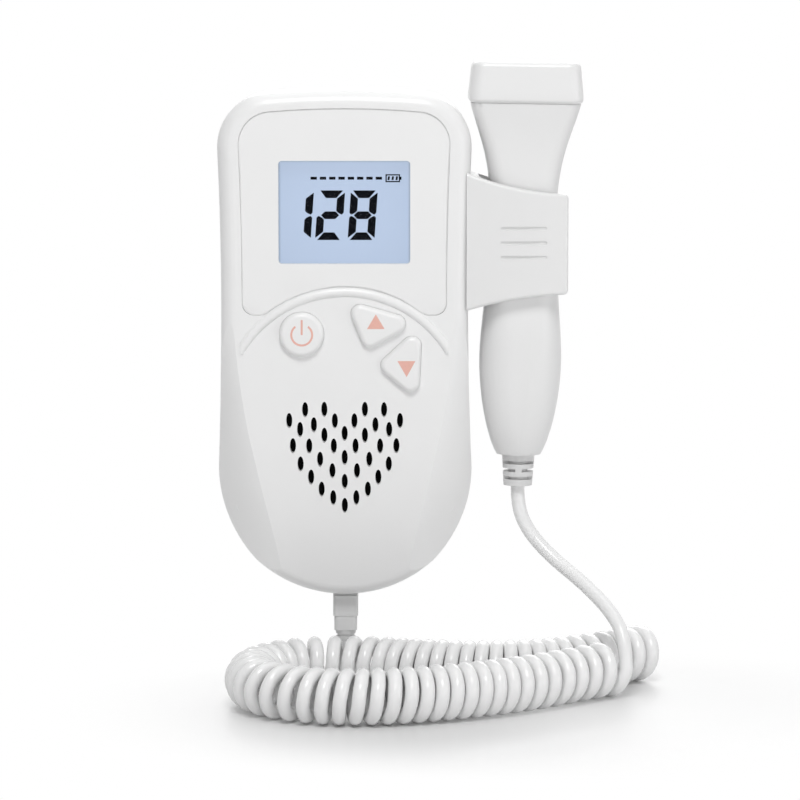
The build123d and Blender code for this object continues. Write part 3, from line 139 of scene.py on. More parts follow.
# colours of the prints, of what shows through openings and of the pieces inside
WHITE = (1.0, 1.0, 1.0, 1.0)
GLASS_DARK = (0.06, 0.08, 0.11, 1.0)
CLEAR_TINT = (0.97, 0.98, 0.99, 1.0)
LIGHT_GUIDE_WHITE = (0.85, 0.88, 0.92, 1.0)
SEGMENT_BLACK = (0.0015, 0.002, 0.004, 1.0)
CLOTH_BLACK = (0.006, 0.006, 0.006, 1.0)
PAPER_BLACK = (0.02, 0.02, 0.02, 1.0)
RUBBER_BLACK = (0.03, 0.03, 0.03, 1.0)
SWITCH_BLACK = (0.04, 0.04, 0.04, 1.0)
CERAMIC_TAN = (0.62, 0.55, 0.42, 1.0)
BASKET_STEEL = (0.45, 0.45, 0.46, 1.0)
SCREW_STEEL = (0.62, 0.62, 0.63, 1.0)
SPRING_STEEL = (0.72, 0.72, 0.70, 1.0)
CONTACT_GOLD = (0.85, 0.62, 0.28, 1.0)
CELL_METAL = (0.7, 0.7, 0.7, 1.0)
CELL_DARK = (0.02, 0.03, 0.06, 1.0)
CELL_COPPER = (0.62, 0.3, 0.1, 1.0)
BOARD_GREEN = (0.012, 0.10, 0.045, 1.0)
BOARD_LIGHT_GREEN = (0.015, 0.13, 0.055, 1.0)
TRACK_GREEN = (0.06, 0.24, 0.09, 1.0)

# brightness of the clip as a share of the case's, a painted shade, and of the strain relief as a share of the
# probe's
CLIP_PAINTED_SHADE = 0.94
RELIEF_TINT = 0.86


# ---------------------------------------------------------------- shader maths
class Shade:
    """A socket of a material's nodes. Arithmetic adds Math nodes, and node() adds any other node."""

    def __init__(self, tree, socket=None):
        self.tree = tree
        self.socket = socket

    def node(self, kind, settings=None, inputs=None, output=0):
        """Add a node: its settings first, then the values or links of its sockets."""
        made = self.tree.nodes.new(kind)
        for name, value in (settings or {}).items():
            if name == "stops":
                set_stops(made.color_ramp, value)
            else:
                setattr(made, name, value)
        for name, value in (inputs or {}).items():
            if isinstance(value, Shade):
                self.tree.links.new(value.socket, made.inputs[name])
            else:
                made.inputs[name].default_value = value
        return Shade(self.tree, made.outputs[output] if made.outputs else None)

    def other_output(self, number):
        """Another output of the node that this socket belongs to."""
        return Shade(self.tree, self.socket.node.outputs[number])

    def maths(self, operation, first, second=0.0):
        """Add a Math node on two values."""
        return self.node("ShaderNodeMath", {"operation": operation}, {0: first, 1: second})

    def __add__(self, other):
        return self.maths("ADD", self, other)

    def __radd__(self, other):
        return self.maths("ADD", other, self)

    def __sub__(self, other):
        return self.maths("SUBTRACT", self, other)

    def __rsub__(self, other):
        return self.maths("SUBTRACT", other, self)

    def __mul__(self, other):
        return self.maths("MULTIPLY", self, other)

    def __rmul__(self, other):
        return self.maths("MULTIPLY", other, self)


def set_stops(ramp, stops):
    """Give a colour ramp its stops, each a place and a colour."""
    while len(ramp.elements) < len(stops):
        ramp.elements.new(1.0)
    for element, (place, colour) in zip(ramp.elements, stops):
        element.position = place
        element.color = colour


def new_material(name):
    """An empty material and the Shade that adds nodes to it."""
    material = bpy.data.materials.new(name)
    material.use_nodes = True
    material.node_tree.nodes.clear()
    return material, Shade(material.node_tree)


def put_out(shade, surface):
    """Send a shader to the material's output."""
    shade.node("ShaderNodeOutputMaterial", inputs={"Surface": surface})


def noise(shade, size, detail):
    """Noise over the object's own place, with features of a size in metres."""
    place = shade.node("ShaderNodeTexCoord", output="Object")
    return shade.node(
        "ShaderNodeTexNoise", inputs={"Vector": place, "Scale": 1 / size, "Detail": detail}
    )


def mix_colour(shade, factor, first, second):
    """Blend two colours."""
    return shade.node(
        "ShaderNodeMix",
        {"data_type": "RGBA"},
        {"Factor": factor, 6: first, 7: second},
        output=2,
    )


def tinted(colour, factor):
    """A colour made darker or lighter as a whole."""
    return tuple(min(1.0, channel * factor) for channel in tuple(colour)[:3]) + (1.0,)


# sizes of the faint shade that flow leaves in a moulding, and of the unevenness of its gloss
FLOW_SIZE = 0.035
GLOSS_SIZE = 0.006


def moulded_plastic(name, colour, roughness, grain=0.00035, grain_depth=0.000004, coat=0.0, spread=0.03):
    """Injection-moulded plastic: a faint flow shade, uneven gloss and a fine surface grain."""
    material, shade = new_material(name)
    flow = noise(shade, FLOW_SIZE, detail=3.0)
    gloss = noise(shade, GLOSS_SIZE, detail=4.0)
    texture = noise(shade, grain, detail=1.0)
    base = mix_colour(shade, flow, tinted(colour, 0.985), tinted(colour, 1.01))
    bump = shade.node(
        "ShaderNodeBump", inputs={"Strength": 0.35, "Distance": grain_depth, "Height": texture}
    )
    surface = shade.node(
        "ShaderNodeBsdfPrincipled",
        inputs={
            "Base Color": base,
            "Roughness": roughness - spread + gloss * (2 * spread),
            "Normal": bump,
            "Coat Weight": coat,
            "Coat Roughness": 0.08,
            "IOR": 1.49,
        },
    )
    put_out(shade, surface)
    return material


def cord_jacket(name, colour):
    """Smooth glossy cord jacket with a faint drawn grain."""
    return moulded_plastic(
        name, colour, 0.23, grain=0.0015, grain_depth=0.000002, coat=0.15, spread=0.02
    )


# width of a metal's streaks, that width as a share of their length, and how far the gloss varies in them
STREAK_WIDTH = 0.0004
STREAK_STRETCH = 0.08
STREAK_SPREAD = 0.06


def metal(name, colour, roughness):
    """Plated or drawn metal with fine streaks in its gloss."""
    material, shade = new_material(name)
    place = shade.node("ShaderNodeTexCoord", output="Object")
    stretched = shade.node(
        "ShaderNodeMapping", inputs={"Vector": place, "Scale": (1.0, 1.0, STREAK_STRETCH)}
    )
    streaks = shade.node(
        "ShaderNodeTexNoise", inputs={"Vector": stretched, "Scale": 1 / STREAK_WIDTH, "Detail": 3.0}
    )
    base = mix_colour(shade, streaks, tinted(colour, 0.88), tinted(colour, 1.05))
    surface = shade.node(
        "ShaderNodeBsdfPrincipled",
        inputs={
            "Base Color": base,
            "Metallic": 1.0,
            "Roughness": roughness - STREAK_SPREAD + streaks * (2 * STREAK_SPREAD),
        },
    )
    put_out(shade, surface)
    return material


# the window's half width and top edge, and how far its shadow reaches over the display
WINDOW_HALF_WIDTH = 18.1 * MM
WINDOW_TOP = (51.1 + RISE) * MM
WINDOW_SHADOW = 0.75 * MM
# how strong that shadow gets, the tint it has there, and the tints of the light in the middle and at the edge
SHADOW_STRENGTH = 0.6
SHADOW_TINT = 0.45
MIDDLE_TINT = 1.06
EDGE_TINT = 0.92


def lit_display(name, colour):
    """Backlit display glass whose light falls off a little, with the window's soft shadow at its edges."""
    material, shade = new_material(name)
    low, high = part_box("lcd_glass")
    centre = (low + high) / 2
    half = (high - low) / 2
    place = shade.node("ShaderNodeTexCoord", output="Object")
    parts = shade.node("ShaderNodeSeparateXYZ", inputs={"Vector": place})
    across = (parts - centre.x) * (1 / half.x)
    upwards = parts.other_output(2)
    up = (upwards - centre.z) * (1 / half.z)
    edge = across * across * 0.5 + up * up * 0.5
    glow = mix_colour(shade, edge, tinted(colour, MIDDLE_TINT), tinted(colour, EDGE_TINT))
    beside = shade.maths("ABSOLUTE", parts) - (WINDOW_HALF_WIDTH - WINDOW_SHADOW)
    above = upwards - (WINDOW_TOP - WINDOW_SHADOW)
    reach = shade.maths("MAXIMUM", beside, above)
    shadow = shade.node(
        "ShaderNodeMapRange",
        {"interpolation_type": "SMOOTHSTEP"},
        {
            "Value": reach,
            "From Min": 0.0,
            "From Max": WINDOW_SHADOW,
            "To Min": 0.0,
            "To Max": SHADOW_STRENGTH,
        },
    )
    glow = mix_colour(shade, shadow, glow, tinted(colour, SHADOW_TINT))
    surface = shade.node(
        "ShaderNodeBsdfPrincipled",
        inputs={
            "Base Color": GLASS_DARK,
            "Roughness": 0.25,
            "Emission Color": glow,
            "Emission Strength": 0.92,
        },
    )
    put_out(shade, surface)
    return material


def clear_window(name):
    """Thin clear window: what is behind shows through, with a little gloss on top."""
    material, shade = new_material(name)
    dust = noise(shade, 0.004, detail=4.0)
    clear = shade.node("ShaderNodeBsdfTransparent", inputs={"Color": CLEAR_TINT})
    glossy = shade.node("ShaderNodeBsdfGlossy", inputs={"Roughness": 0.04 + dust * 0.04})
    fresnel = shade.node("ShaderNodeFresnel", inputs={"IOR": 1.08})
    put_out(shade, shade.node("ShaderNodeMixShader", inputs={0: fresnel, 1: clear, 2: glossy}))
    return material


def ink(name, colour, roughness=0.45, gloss=0.5):
    """Printed ink with a slightly uneven coverage."""
    material, shade = new_material(name)
    cover = noise(shade, 0.0006, detail=3.0)
    base = mix_colour(shade, cover, tinted(colour, 0.93), tinted(colour, 1.04))
    surface = shade.node(
        "ShaderNodeBsdfPrincipled",
        inputs={
            "Base Color": base,
            "Roughness": roughness - 0.05 + cover * 0.1,
            "Specular IOR Level": gloss,
        },
    )
    put_out(shade, surface)
    return material


# scale of the cloth's threads
THREAD_SCALE = 500.0


def woven_cloth(name, colour):
    """Fine dust cloth with crossing threads."""
    material, shade = new_material(name)
    place = shade.node("ShaderNodeTexCoord", output="Object")
    weft, warp = [
        shade.node("ShaderNodeTexWave", {"bands_direction": way}, {"Vector": place, "Scale": THREAD_SCALE})
        for way in ("X", "Z")
    ]
    weave = weft.other_output(1) * warp.other_output(1)
    base = mix_colour(shade, weave, tinted(colour, 0.5), colour)
    bump = shade.node("ShaderNodeBump", inputs={"Strength": 0.8, "Distance": 0.0001, "Height": weave})
    surface = shade.node(
        "ShaderNodeBsdfPrincipled",
        inputs={"Base Color": base, "Roughness": 0.9, "Specular IOR Level": 0.1, "Normal": bump},
    )
    put_out(shade, surface)
    return material


def board_laminate(name):
    """Green circuit board with copper tracks under the lacquer."""
    material, shade = new_material(name)
    place = shade.node("ShaderNodeTexCoord", output="Object")
    facing = shade.node(
        "ShaderNodeMapping", inputs={"Vector": place, "Rotation": (math.pi / 2, 0, 0)}
    )
    grid = shade.node(
        "ShaderNodeTexBrick",
        {"offset": 0.37},
        {
            "Vector": facing,
            "Scale": 60.0,
            "Mortar Size": 0.012,
            "Color1": BOARD_GREEN,
            "Color2": BOARD_LIGHT_GREEN,
            "Mortar": TRACK_GREEN,
        },
    )
    surface = shade.node("ShaderNodeBsdfPrincipled", inputs={"Base Color": grid, "Roughness": 0.35})
    put_out(shade, surface)
    return material


# where each band of a cell starts, as a share of its length, and its colour
CELL_BANDS = [(0.0, CELL_METAL), (0.09, CELL_DARK), (0.68, CELL_COPPER), (0.94, CELL_METAL)]


def cell_jacket(name):
    """Plain battery jacket: a dark band and a copper-coloured band between bare metal ends."""
    material, shade = new_material(name)
    low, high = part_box("battery_cells")
    place = shade.node("ShaderNodeTexCoord", output="Object")
    parts = shade.node("ShaderNodeSeparateXYZ", inputs={"Vector": place}, output=2)
    share = (parts - low.z) * (1 / (high.z - low.z))
    bands = shade.node("ShaderNodeValToRGB", {"stops": CELL_BANDS}, {"Fac": share})
    bands.socket.node.color_ramp.interpolation = "CONSTANT"
    surface = shade.node(
        "ShaderNodeBsdfPrincipled", inputs={"Base Color": bands, "Metallic": 0.6, "Roughness": 0.3}
    )
    put_out(shade, surface)
    return material


# ---------------------------------------------------------------- helpers for pieces
def colours():
    """The colours that the scene holds."""
    return bpy.context.scene.doppler_colours


def sizes():
    """The sizes that the scene holds."""
    return bpy.context.scene.doppler_sizes


def add_object(name, data):
    """Put a new object with a mesh or a curve into the scene."""
    made = bpy.data.objects.new(name, data)
    bpy.context.scene.collection.objects.link(made)
    return made


def deselect_all():
    """Leave nothing selected, in object mode."""
    if bpy.context.object and bpy.context.object.mode != "OBJECT":
        bpy.ops.object.mode_set(mode="OBJECT")
    bpy.ops.object.select_all(action="DESELECT")


def select_only(piece):
    """Make one piece the selected and the active one."""
    deselect_all()
    piece.select_set(True)
    bpy.context.view_layer.objects.active = piece


def edit_whole_mesh():
    """Enter edit mode with the active piece's whole mesh selected."""
    bpy.ops.object.mode_set(mode="EDIT")
    bpy.ops.mesh.select_all(action="SELECT")


def settle(piece, name, material, body=None):
    """Put a finished piece's place into its mesh, name it, give it its finish and hang it on a body."""
    select_only(piece)
    bpy.ops.object.transform_apply(location=True, rotation=True, scale=True)
    piece.name = name
    piece.data.name = name
    piece.data.materials.clear()
    piece.data.materials.append(material)
    if body:
        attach(piece, body)
    deselect_all()


def apply_modifier(piece, kind, **settings):
    """Add a modifier with its settings and apply it."""
    select_only(piece)
    modifier = piece.modifiers.new(kind.title(), kind)
    for name, value in settings.items():
        setattr(modifier, name, value)
    bpy.ops.object.modifier_apply(modifier=modifier.name)


def finish_nodes(material, *nodes):
    """Give CAD nodes their finish."""
    for node in nodes:
        for slot in NODES[node].material_slots:
            slot.link = "OBJECT"
            slot.material = material


# corners nearer than this are one, and faces that meet at less than this angle are shaded as one
MERGE_DISTANCE = 0.000002
SMOOTH_ANGLE = math.radians(32)
# how a remeshed shell is relaxed: the share of the way to the neighbours' middle, and how often
RELAX_SHARE = 0.5
RELAX_ROUNDS = 8


def smooth_copy(node, material, body, grow=0.0, within=None, voxel=0.0, reshape=None):
    """Stand-in for a CAD piece: a merged copy with its curved faces shaded smooth.

    Its side walls may be moved outwards, seen from the front, so that the gap round it closes, except
    within a box. A shell with screw holes in a curved face is remeshed evenly at the size of a voxel and
    relaxed a little. Any other change of shape comes as a function of the mesh.
    """
    mesh = NODES[node].data.copy()
    piece = add_object(node + "_finished", mesh)
    select_only(piece)
    edit_whole_mesh()
    bpy.ops.mesh.remove_doubles(threshold=MERGE_DISTANCE)
    bpy.ops.object.mode_set(mode="OBJECT")
    if grow:
        widen(mesh, grow, within)
    if reshape:
        reshape(mesh)
    if voxel:
        apply_modifier(piece, "REMESH", mode="VOXEL", voxel_size=voxel)
        apply_modifier(piece, "SMOOTH", factor=RELAX_SHARE, iterations=RELAX_ROUNDS)
    bpy.ops.object.shade_smooth_by_angle(angle=SMOOTH_ANGLE)
    if grow:
        apply_modifier(piece, "WEIGHTED_NORMAL", keep_sharp=True)
    settle(piece, piece.name, material, body)
    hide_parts(node)


# the head's top, the probe's direction, how far under the top the head's lower edge lies, how far it is
# lowered, and how far from that edge a corner may lie to count as part of it
HEAD_TOP = Vector((50.192, -15.5, 113.386)) * MM
PROBE_AXIS = Vector((0.015707, 0.0, 0.999877))
HEAD_HEIGHT = 11.3 * MM
HEAD_SEAM = 0.15 * MM
EDGE_REACH = 0.05 * MM


def close_head_seam(mesh):
    """Lower the head's bottom edge so that only a hairline stays between it and the probe's body."""
    for vertex in mesh.vertices:
        depth = (HEAD_TOP - vertex.co).dot(PROBE_AXIS)
        if abs(depth - HEAD_HEIGHT) < EDGE_REACH:
            vertex.co -= PROBE_AXIS * HEAD_SEAM


# faces that look to the front or back more than this aren't side walls
WALL_TILT = 0.3


def widen(mesh, amount, within):
    """Move the side walls of a mesh outwards, seen from the front, except within a box across and up."""
    outwards = {}
    for polygon in mesh.polygons:
        if abs(polygon.normal.y) > WALL_TILT:
            continue
        flat_normal = Vector((polygon.normal.x, 0.0, polygon.normal.z))
        for number in polygon.vertices:
            outwards[number] = outwards.get(number, Vector()) + flat_normal
    for number, direction in outwards.items():
        place = mesh.vertices[number].co
        inside = within and within[0] < place.x < within[2] and within[1] < place.z < within[3]
        if not inside and direction.length > 0:
            place += direction.normalized() * amount


def join_pieces(pieces):
    """Join like pieces into the first."""
    deselect_all()
    for piece in pieces:
        piece.select_set(True)
    bpy.context.view_layer.objects.active = pieces[0]
    bpy.ops.object.join()
    return bpy.context.object


# ---------------------------------------------------------------- camera, light and floor
CAMERA_PLACE = Vector((15.3, -1008.6, 96.7 + RISE)) * MM
CAMERA_TARGET = Vector((15.3, -15.0, -16.5 + RISE)) * MM
CAMERA_LENS = 160.6
FLOOR_Z = (SURFACE + RISE) * MM


def look_at(thing, target):
    """Turn a camera or a lamp towards a point."""
    direction = target - thing.location
    thing.rotation_euler = direction.to_track_quat("-Z", "Y").to_euler()


def add_camera():
    """The camera at the object's front, a little above it."""
    deselect_all()
    bpy.ops.object.camera_add(location=CAMERA_PLACE)
    camera = bpy.context.object
    look_at(camera, CAMERA_TARGET)
    camera.data.lens = CAMERA_LENS
    camera.data.sensor_width = 36.0
    camera.data.clip_start = 0.01
    camera.data.clip_end = 20.0
    bpy.context.scene.camera = camera


# name, place, size across and along, power in watts
LAMPS = [
    ("key_softbox", (0.0, -0.90, 1.05), (0.45, 0.45), 8.6),
    ("top_softbox", (0.0, 0.10, 1.1), (1.0, 0.7), 3.2),
    ("front_fill", (0.05, -1.15, 0.10), (1.8, 0.5), 1.8),
    ("right_softbox", (0.95, -0.65, 0.05), (0.6, 0.6), 2.2),
    ("back_softbox", (0.10, 1.0, 0.75), (0.8, 0.8), 6.0),
]
LAMP_TARGET = Vector((0.015, -0.02, 0.02))
WORLD_STRENGTH = 0.23


def add_lamps():
    """Soft studio lamps and an even world."""
    for name, place, (width, height), power in LAMPS:
        deselect_all()
        bpy.ops.object.light_add(type="AREA", location=place)
        lamp = bpy.context.object
        lamp.name = name
        look_at(lamp, LAMP_TARGET)
        lamp.data.shape = "RECTANGLE"
        lamp.data.size = width
        lamp.data.size_y = height
        lamp.data.energy = power
    world = bpy.data.worlds.new("studio")
    bpy.context.scene.world = world
    world.use_nodes = True
    world.node_tree.nodes.clear()
    shade = Shade(world.node_tree)
    even = shade.node("ShaderNodeBackground", inputs={"Color": WHITE, "Strength": WORLD_STRENGTH})
    white = shade.node("ShaderNodeBackground", inputs={"Color": WHITE, "Strength": 1.0})
    both = shade.node("ShaderNodeMixShader", inputs={0: seen_directly(shade), 1: even, 2: white})
    shade.node("ShaderNodeOutputWorld", inputs={"Surface": both})


def seen_directly(shade):
    """1 for rays from the camera and for those that gloss and glass send on, otherwise 0."""
    kinds = ["Is Camera Ray", "Is Glossy Ray", "Is Transmission Ray"]
    camera, glossy, transmitted = [shade.node("ShaderNodeLightPath", output=kind) for kind in kinds]
    return shade.maths("MAXIMUM", shade.maths("MAXIMUM", camera, glossy), transmitted)


FLOOR_SIZE = 6.0
# the ring under the coil on which the floor keeps its full shadow, greyer there as painted shade: its middle
# and its half sizes
COIL_RING_MIDDLE = (0.050, -0.055)
COIL_RING_HALF = (0.058, 0.040)
# how far off the ring the floor is plain white, in ring sizes, and the share of that speed inside the ring
RING_FADE = 1.3
INSIDE_FADE = 0.6


def floor_finish(name, colour):
    """Pale glossy floor that keeps the shadow round the coil, greyer there as painted shade, and turns plain
    white further out.
    """
    material, shade = new_material(name)
    cloud = noise(shade, 0.3, detail=2.0)
    base = mix_colour(shade, cloud, tinted(colour, 0.995), colour)
    body = shade.node(
        "ShaderNodeBsdfPrincipled",
        inputs={"Base Color": base, "Roughness": 0.34 + cloud * 0.06, "IOR": 1.4},
    )
    glow = shade.node("ShaderNodeEmission", inputs={"Color": WHITE, "Strength": 1.0})
    place = shade.node("ShaderNodeTexCoord", output="Object")
    centred = shade.node(
        "ShaderNodeVectorMath", {"operation": "SUBTRACT"}, {0: place, 1: (*COIL_RING_MIDDLE, 0.0)}
    )
    shrunk = shade.node(
        "ShaderNodeVectorMath", {"operation": "DIVIDE"}, {0: centred, 1: (*COIL_RING_HALF, 1.0)}
    )
    distance = shade.node("ShaderNodeVectorMath", {"operation": "LENGTH"}, {0: shrunk}, output=1)
    off_ring = shade.maths("MAXIMUM", distance - 1.0, (1.0 - distance) * INSIDE_FADE)
    white = shade.node(
        "ShaderNodeMapRange",
        {"interpolation_type": "SMOOTHSTEP"},
        {"Value": off_ring, "From Min": 0.0, "From Max": RING_FADE, "To Min": 0.0, "To Max": 1.0},
    )
    mixed = shade.node("ShaderNodeMixShader", inputs={0: white * seen_directly(shade), 1: body, 2: glow})
    put_out(shade, mixed)
    return material


def add_floor():
    """A wide flat floor under the cord."""
    deselect_all()
    bpy.ops.mesh.primitive_plane_add(size=FLOOR_SIZE, location=(0.0, 0.0, FLOOR_Z))
    floor = bpy.context.object
    settle(floor, "floor", floor_finish("floor", colours().backdrop))


# ---------------------------------------------------------------- cord
def route_spline(points):
    """A smooth line along a route given in millimetres: the points of its NURBS spline, in metres."""
    curve = bpy.data.curves.new("route", "CURVE")
    curve.dimensions = "3D"
    spline = curve.splines.new("NURBS")
    spline.points.add(len(points) - 1)
    for point, place in zip(spline.points, points):
        point.co = (*(Vector(place) * MM), 1.0)
    spline.order_u = 3
    spline.use_endpoint_u = True
    spline.resolution_u = 24
    route = add_object("route", curve)
    mesh = bpy.data.meshes.new_from_object(route)
    line = [vertex.co.copy() for vertex in mesh.vertices]
    bpy.data.objects.remove(route)
    bpy.data.meshes.remove(mesh)
    bpy.data.curves.remove(curve)
    return line


def lengths_along(line):
    """Running length at each point of a line."""
    total = [0.0]
    for before, here in zip(line, line[1:]):
        total.append(total[-1] + (here - before).length)
    return total


def point_at(line, total, distance):
    """The place on a line at a distance from its start, and the line's direction there."""
    number = 1
    while number < len(total) - 1 and total[number] < distance:
        number += 1
    before, here = line[number - 1], line[number]
    step = total[number] - total[number - 1]
    share = (distance - total[number - 1]) / step if step else 0.0
    return before.lerp(here, max(0.0, min(1.0, share))), (here - before).normalized()


# share of the coil's length, and how far apart its turns lie there, in millimetres
TURN_PITCHES = [
    (0.0, 5.0), (0.1, 5.0), (0.13, 3.9), (0.26, 3.9), (0.3, 4.2), (0.34, 5.1), (0.4, 6.0), (0.45, 5.2),
    (0.55, 4.9), (0.6, 5.4), (0.64, 4.35), (0.83, 4.2), (0.89, 4.8), (0.93, 5.7), (1.0, 5.7),
]


def pitch_at(place):
    """Distance between turns at a share of the coil's length."""
    for (before, pitch), (after, next_pitch) in zip(TURN_PITCHES, TURN_PITCHES[1:]):
        if place <= after:
            return pitch + (next_pitch - pitch) * (place - before) / (after - before)
    return TURN_PITCHES[-1][1]


def turn_shares(count):
    """Share of all turns done at even steps along the coil."""
    done = [0.0]
    for number in range(count):
        done.append(done[-1] + 1 / pitch_at((number + 0.5) / count))
    return [value / done[-1] for value in done]


POINTS_PER_TURN = 28


def coil_line(turns):
    """The helix that winds round the coil's middle line, from its top at the start."""
    line = route_spline([(x, y, COIL_Z + RISE) for x, y in COIL_POINTS])
    total = lengths_along(line)
    radius = (COIL_DIAMETER - CORD_DIAMETER) / 2 * MM
    count = int(turns * POINTS_PER_TURN)
    shares = turn_shares(count)
    upward = Vector((0, 0, 1))
    helix = []
    for number in range(count + 1):
        centre, along = point_at(line, total, total[-1] * number / count)
        sideways = along.cross(upward).normalized()
        angle = -2 * math.pi * turns * shares[number]
        helix.append(centre + radius * (math.cos(angle) * upward + math.sin(angle) * sideways))
    return helix


def raised(points):
    """Route points with their heights over the origin."""
    return [(x, y, z + RISE) for x, y, z in points]


# points of a line that lie nearer than this to the start of the next line are left out
JOIN_GAP = 0.002


def joined_line(first, second):
    """Two lines end to end, with a gap left between them that the tube then spans."""
    while len(first) > 2 and (first[-1] - second[0]).length < JOIN_GAP:
        first = first[:-1]
    return first + second


def tube_mesh(name, line, diameter, sides=14):
    """A closed tube round a line, with a frame that is carried along without twisting."""
    vertices, faces = [], []
    direction = (line[1] - line[0]).normalized()
    normal = direction.orthogonal().normalized()
    for number, place in enumerate(line):
        before = line[max(0, number - 1)]
        after = line[min(len(line) - 1, number + 1)]
        new_direction = (after - before).normalized()
        normal = direction.rotation_difference(new_direction) @ normal
        direction = new_direction
        other = direction.cross(normal)
        for side in range(sides):
            angle = 2 * math.pi * side / sides
            offset = normal * math.cos(angle) + other * math.sin(angle)
            vertices.append(place + offset * diameter / 2)
    rings = len(line)
    for ring in range(rings - 1):
        for side in range(sides):
            here = ring * sides
            following = (side + 1) % sides
            faces.append((here + side, here + following, here + sides + following, here + sides + side))
    faces.append(tuple(reversed(range(sides))))
    faces.append(tuple((rings - 1) * sides + side for side in range(sides)))
    mesh = bpy.data.meshes.new(name)
    mesh.from_pydata(vertices, [], faces)
    mesh.update()
    for polygon in mesh.polygons:
        polygon.use_smooth = len(polygon.vertices) == 4
    return mesh


def make_cord():
    """The whole cord as one tube: from the probe down to the coil, through it and on to the plug."""
    plug_lead = route_spline(raised(PLUG_LEAD_POINTS))
    coil = coil_line(sizes().coil_turns)
    probe_lead = route_spline(raised(PROBE_LEAD_POINTS))
    line = joined_line(joined_line(plug_lead, coil), list(reversed(probe_lead)))
    line.reverse()
    mesh = tube_mesh("cord", line, CORD_DIAMETER * MM)
    cord = add_object("cord", mesh)
    cord.data.materials.append(cord_jacket("cord_jacket", colours().cord))
    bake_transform(cord)
    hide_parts("curly_coil", "plug_lead", "probe_lead")


# ---------------------------------------------------------------- printed figures
def upright(places):
    """Outline or place given in millimetres over the unit's middle, in metres over the origin."""
    return [(across * MM, (up + RISE) * MM) for across, up in places]


def rectangle(left, low, right, high):
    """Outline of a rectangle."""
    return [(left, low), (right, low), (right, high), (left, high)]


def flat_face(outline, y, rounding=0.0):
    """A flat face towards the front with a given outline, its corners rounded."""
    deselect_all()
    bpy.ops.mesh.primitive_circle_add(
        vertices=len(outline), radius=MM, fill_type="NGON", rotation=(math.pi / 2, 0, 0)
    )
    face = bpy.context.object
    bpy.ops.object.transform_apply(location=True, rotation=True, scale=True)
    for vertex, (across, up) in zip(face.data.vertices, outline):
        vertex.co = (across, y, up)
    if rounding:
        edit_whole_mesh()
        bpy.ops.mesh.bevel(offset=rounding, segments=3, affect="VERTICES")
        bpy.ops.object.mode_set(mode="OBJECT")
    return face


def printed(faces, name, material, body):
    """Join flat faces into one print and give it the print's thickness."""
    figure = join_pieces(faces)
    apply_modifier(figure, "SOLIDIFY", thickness=sizes().print_depth, offset=0.0)
    edit_whole_mesh()
    bpy.ops.mesh.normals_make_consistent(inside=False)
    bpy.ops.object.mode_set(mode="OBJECT")
    settle(figure, name, material, body)


# ---------------------------------------------------------------- display
PRINT_Y = -26.63 * MM
DIGIT_WIDTH = 7.4 * MM
SEGMENT_WIDTH = 2.1 * MM
SEGMENT_GAP = 0.15 * MM
DIGIT_CORNER = 0.58 * MM
DIGIT_ROUNDING = 0.16 * MM
DIGITS_LOW = 29.19
# each digit's left edge at its foot, and the segments that are lit
DIGITS = [
    (-16.7, ["upper_right", "lower_right"]),
    (-8.12, ["top", "upper_right", "middle", "lower_left", "bottom"]),
    (0.86, ["top", "upper_left", "upper_right", "middle", "lower_left", "lower_right", "bottom"]),
]
DASH_COUNT = 8
DASH_FIRST, DASH_LAST = -9.31, 10.35
DASH_WIDTH, DASH_HEIGHT = 1.75, 0.8
DASH_ROUNDING = 0.08 * MM
DASHES_MIDDLE = 46.21
BATTERY_BOX = (11.31, 45.1, 15.3, 47.3)
BATTERY_LINE = 0.34
BATTERY_NUB = (15.3, 45.75, 15.71, 46.65)
# the bars in the symbol: how many, how wide, how far each leans and its inset, in widths of the line
BATTERY_BARS = 3
BATTERY_BAR = 0.55
BAR_LEAN = 0.08
BAR_INSET = 1.7


def turned_over(outline, height):
    """An outline upside down within a height."""
    return [(across, height - up) for across, up in outline]


def other_side(outline, width):
    """An outline mirrored within a width."""
    return [(width - across, up) for across, up in outline]


def segment_outlines():
    """The seven segments of a digit, about its lower left corner."""
    width, height = DIGIT_WIDTH, sizes().digit_height
    stroke, gap, corner = SEGMENT_WIDTH, SEGMENT_GAP, DIGIT_CORNER
    half = stroke / 2
    slope = half / 2
    middle = height / 2
    top = [
        (stroke + gap, height - stroke), (width - stroke - gap, height - stroke),
        (width - corner, height), (corner, height),
    ]
    left = [
        (0.0, middle + slope + gap), (slope, middle + gap), (stroke - slope, middle + slope + gap),
        (stroke, middle + half + gap), (stroke, height - stroke - gap), (0.0, height - corner),
    ]
    right = other_side(left, width)
    bar = [
        (half + gap, middle), (stroke + gap, middle - half), (width - stroke - gap, middle - half),
        (width - half - gap, middle), (width - stroke - gap, middle + half), (stroke + gap, middle + half),
    ]
    return {
        "top": top,
        "middle": bar,
        "bottom": turned_over(top, height),
        "upper_left": left,
        "upper_right": right,
        "lower_left": turned_over(left, height),
        "lower_right": turned_over(right, height),
    }


def make_digits(material):
    """The display's large slanted digits."""
    outlines = segment_outlines()
    lean = math.tan(sizes().digit_slant)
    low = (DIGITS_LOW + RISE) * MM
    faces = []
    for left, lit in DIGITS:
        for name in lit:
            leaning = [(left * MM + across + lean * up, low + up) for across, up in outlines[name]]
            faces.append(flat_face(leaning, PRINT_Y, rounding=DIGIT_ROUNDING))
    printed(faces, "display_digits", material, "housing")


def make_level_dashes(material):
    """The row of dashes above the digits."""
    step = (DASH_LAST - DASH_WIDTH - DASH_FIRST) / (DASH_COUNT - 1)
    low, high = DASHES_MIDDLE - DASH_HEIGHT / 2, DASHES_MIDDLE + DASH_HEIGHT / 2
    faces = []
    for number in range(DASH_COUNT):
        left = DASH_FIRST + number * step
        outline = upright(rectangle(left, low, left + DASH_WIDTH, high))
        faces.append(flat_face(outline, PRINT_Y, rounding=DASH_ROUNDING))
    printed(faces, "display_dashes", material, "housing")


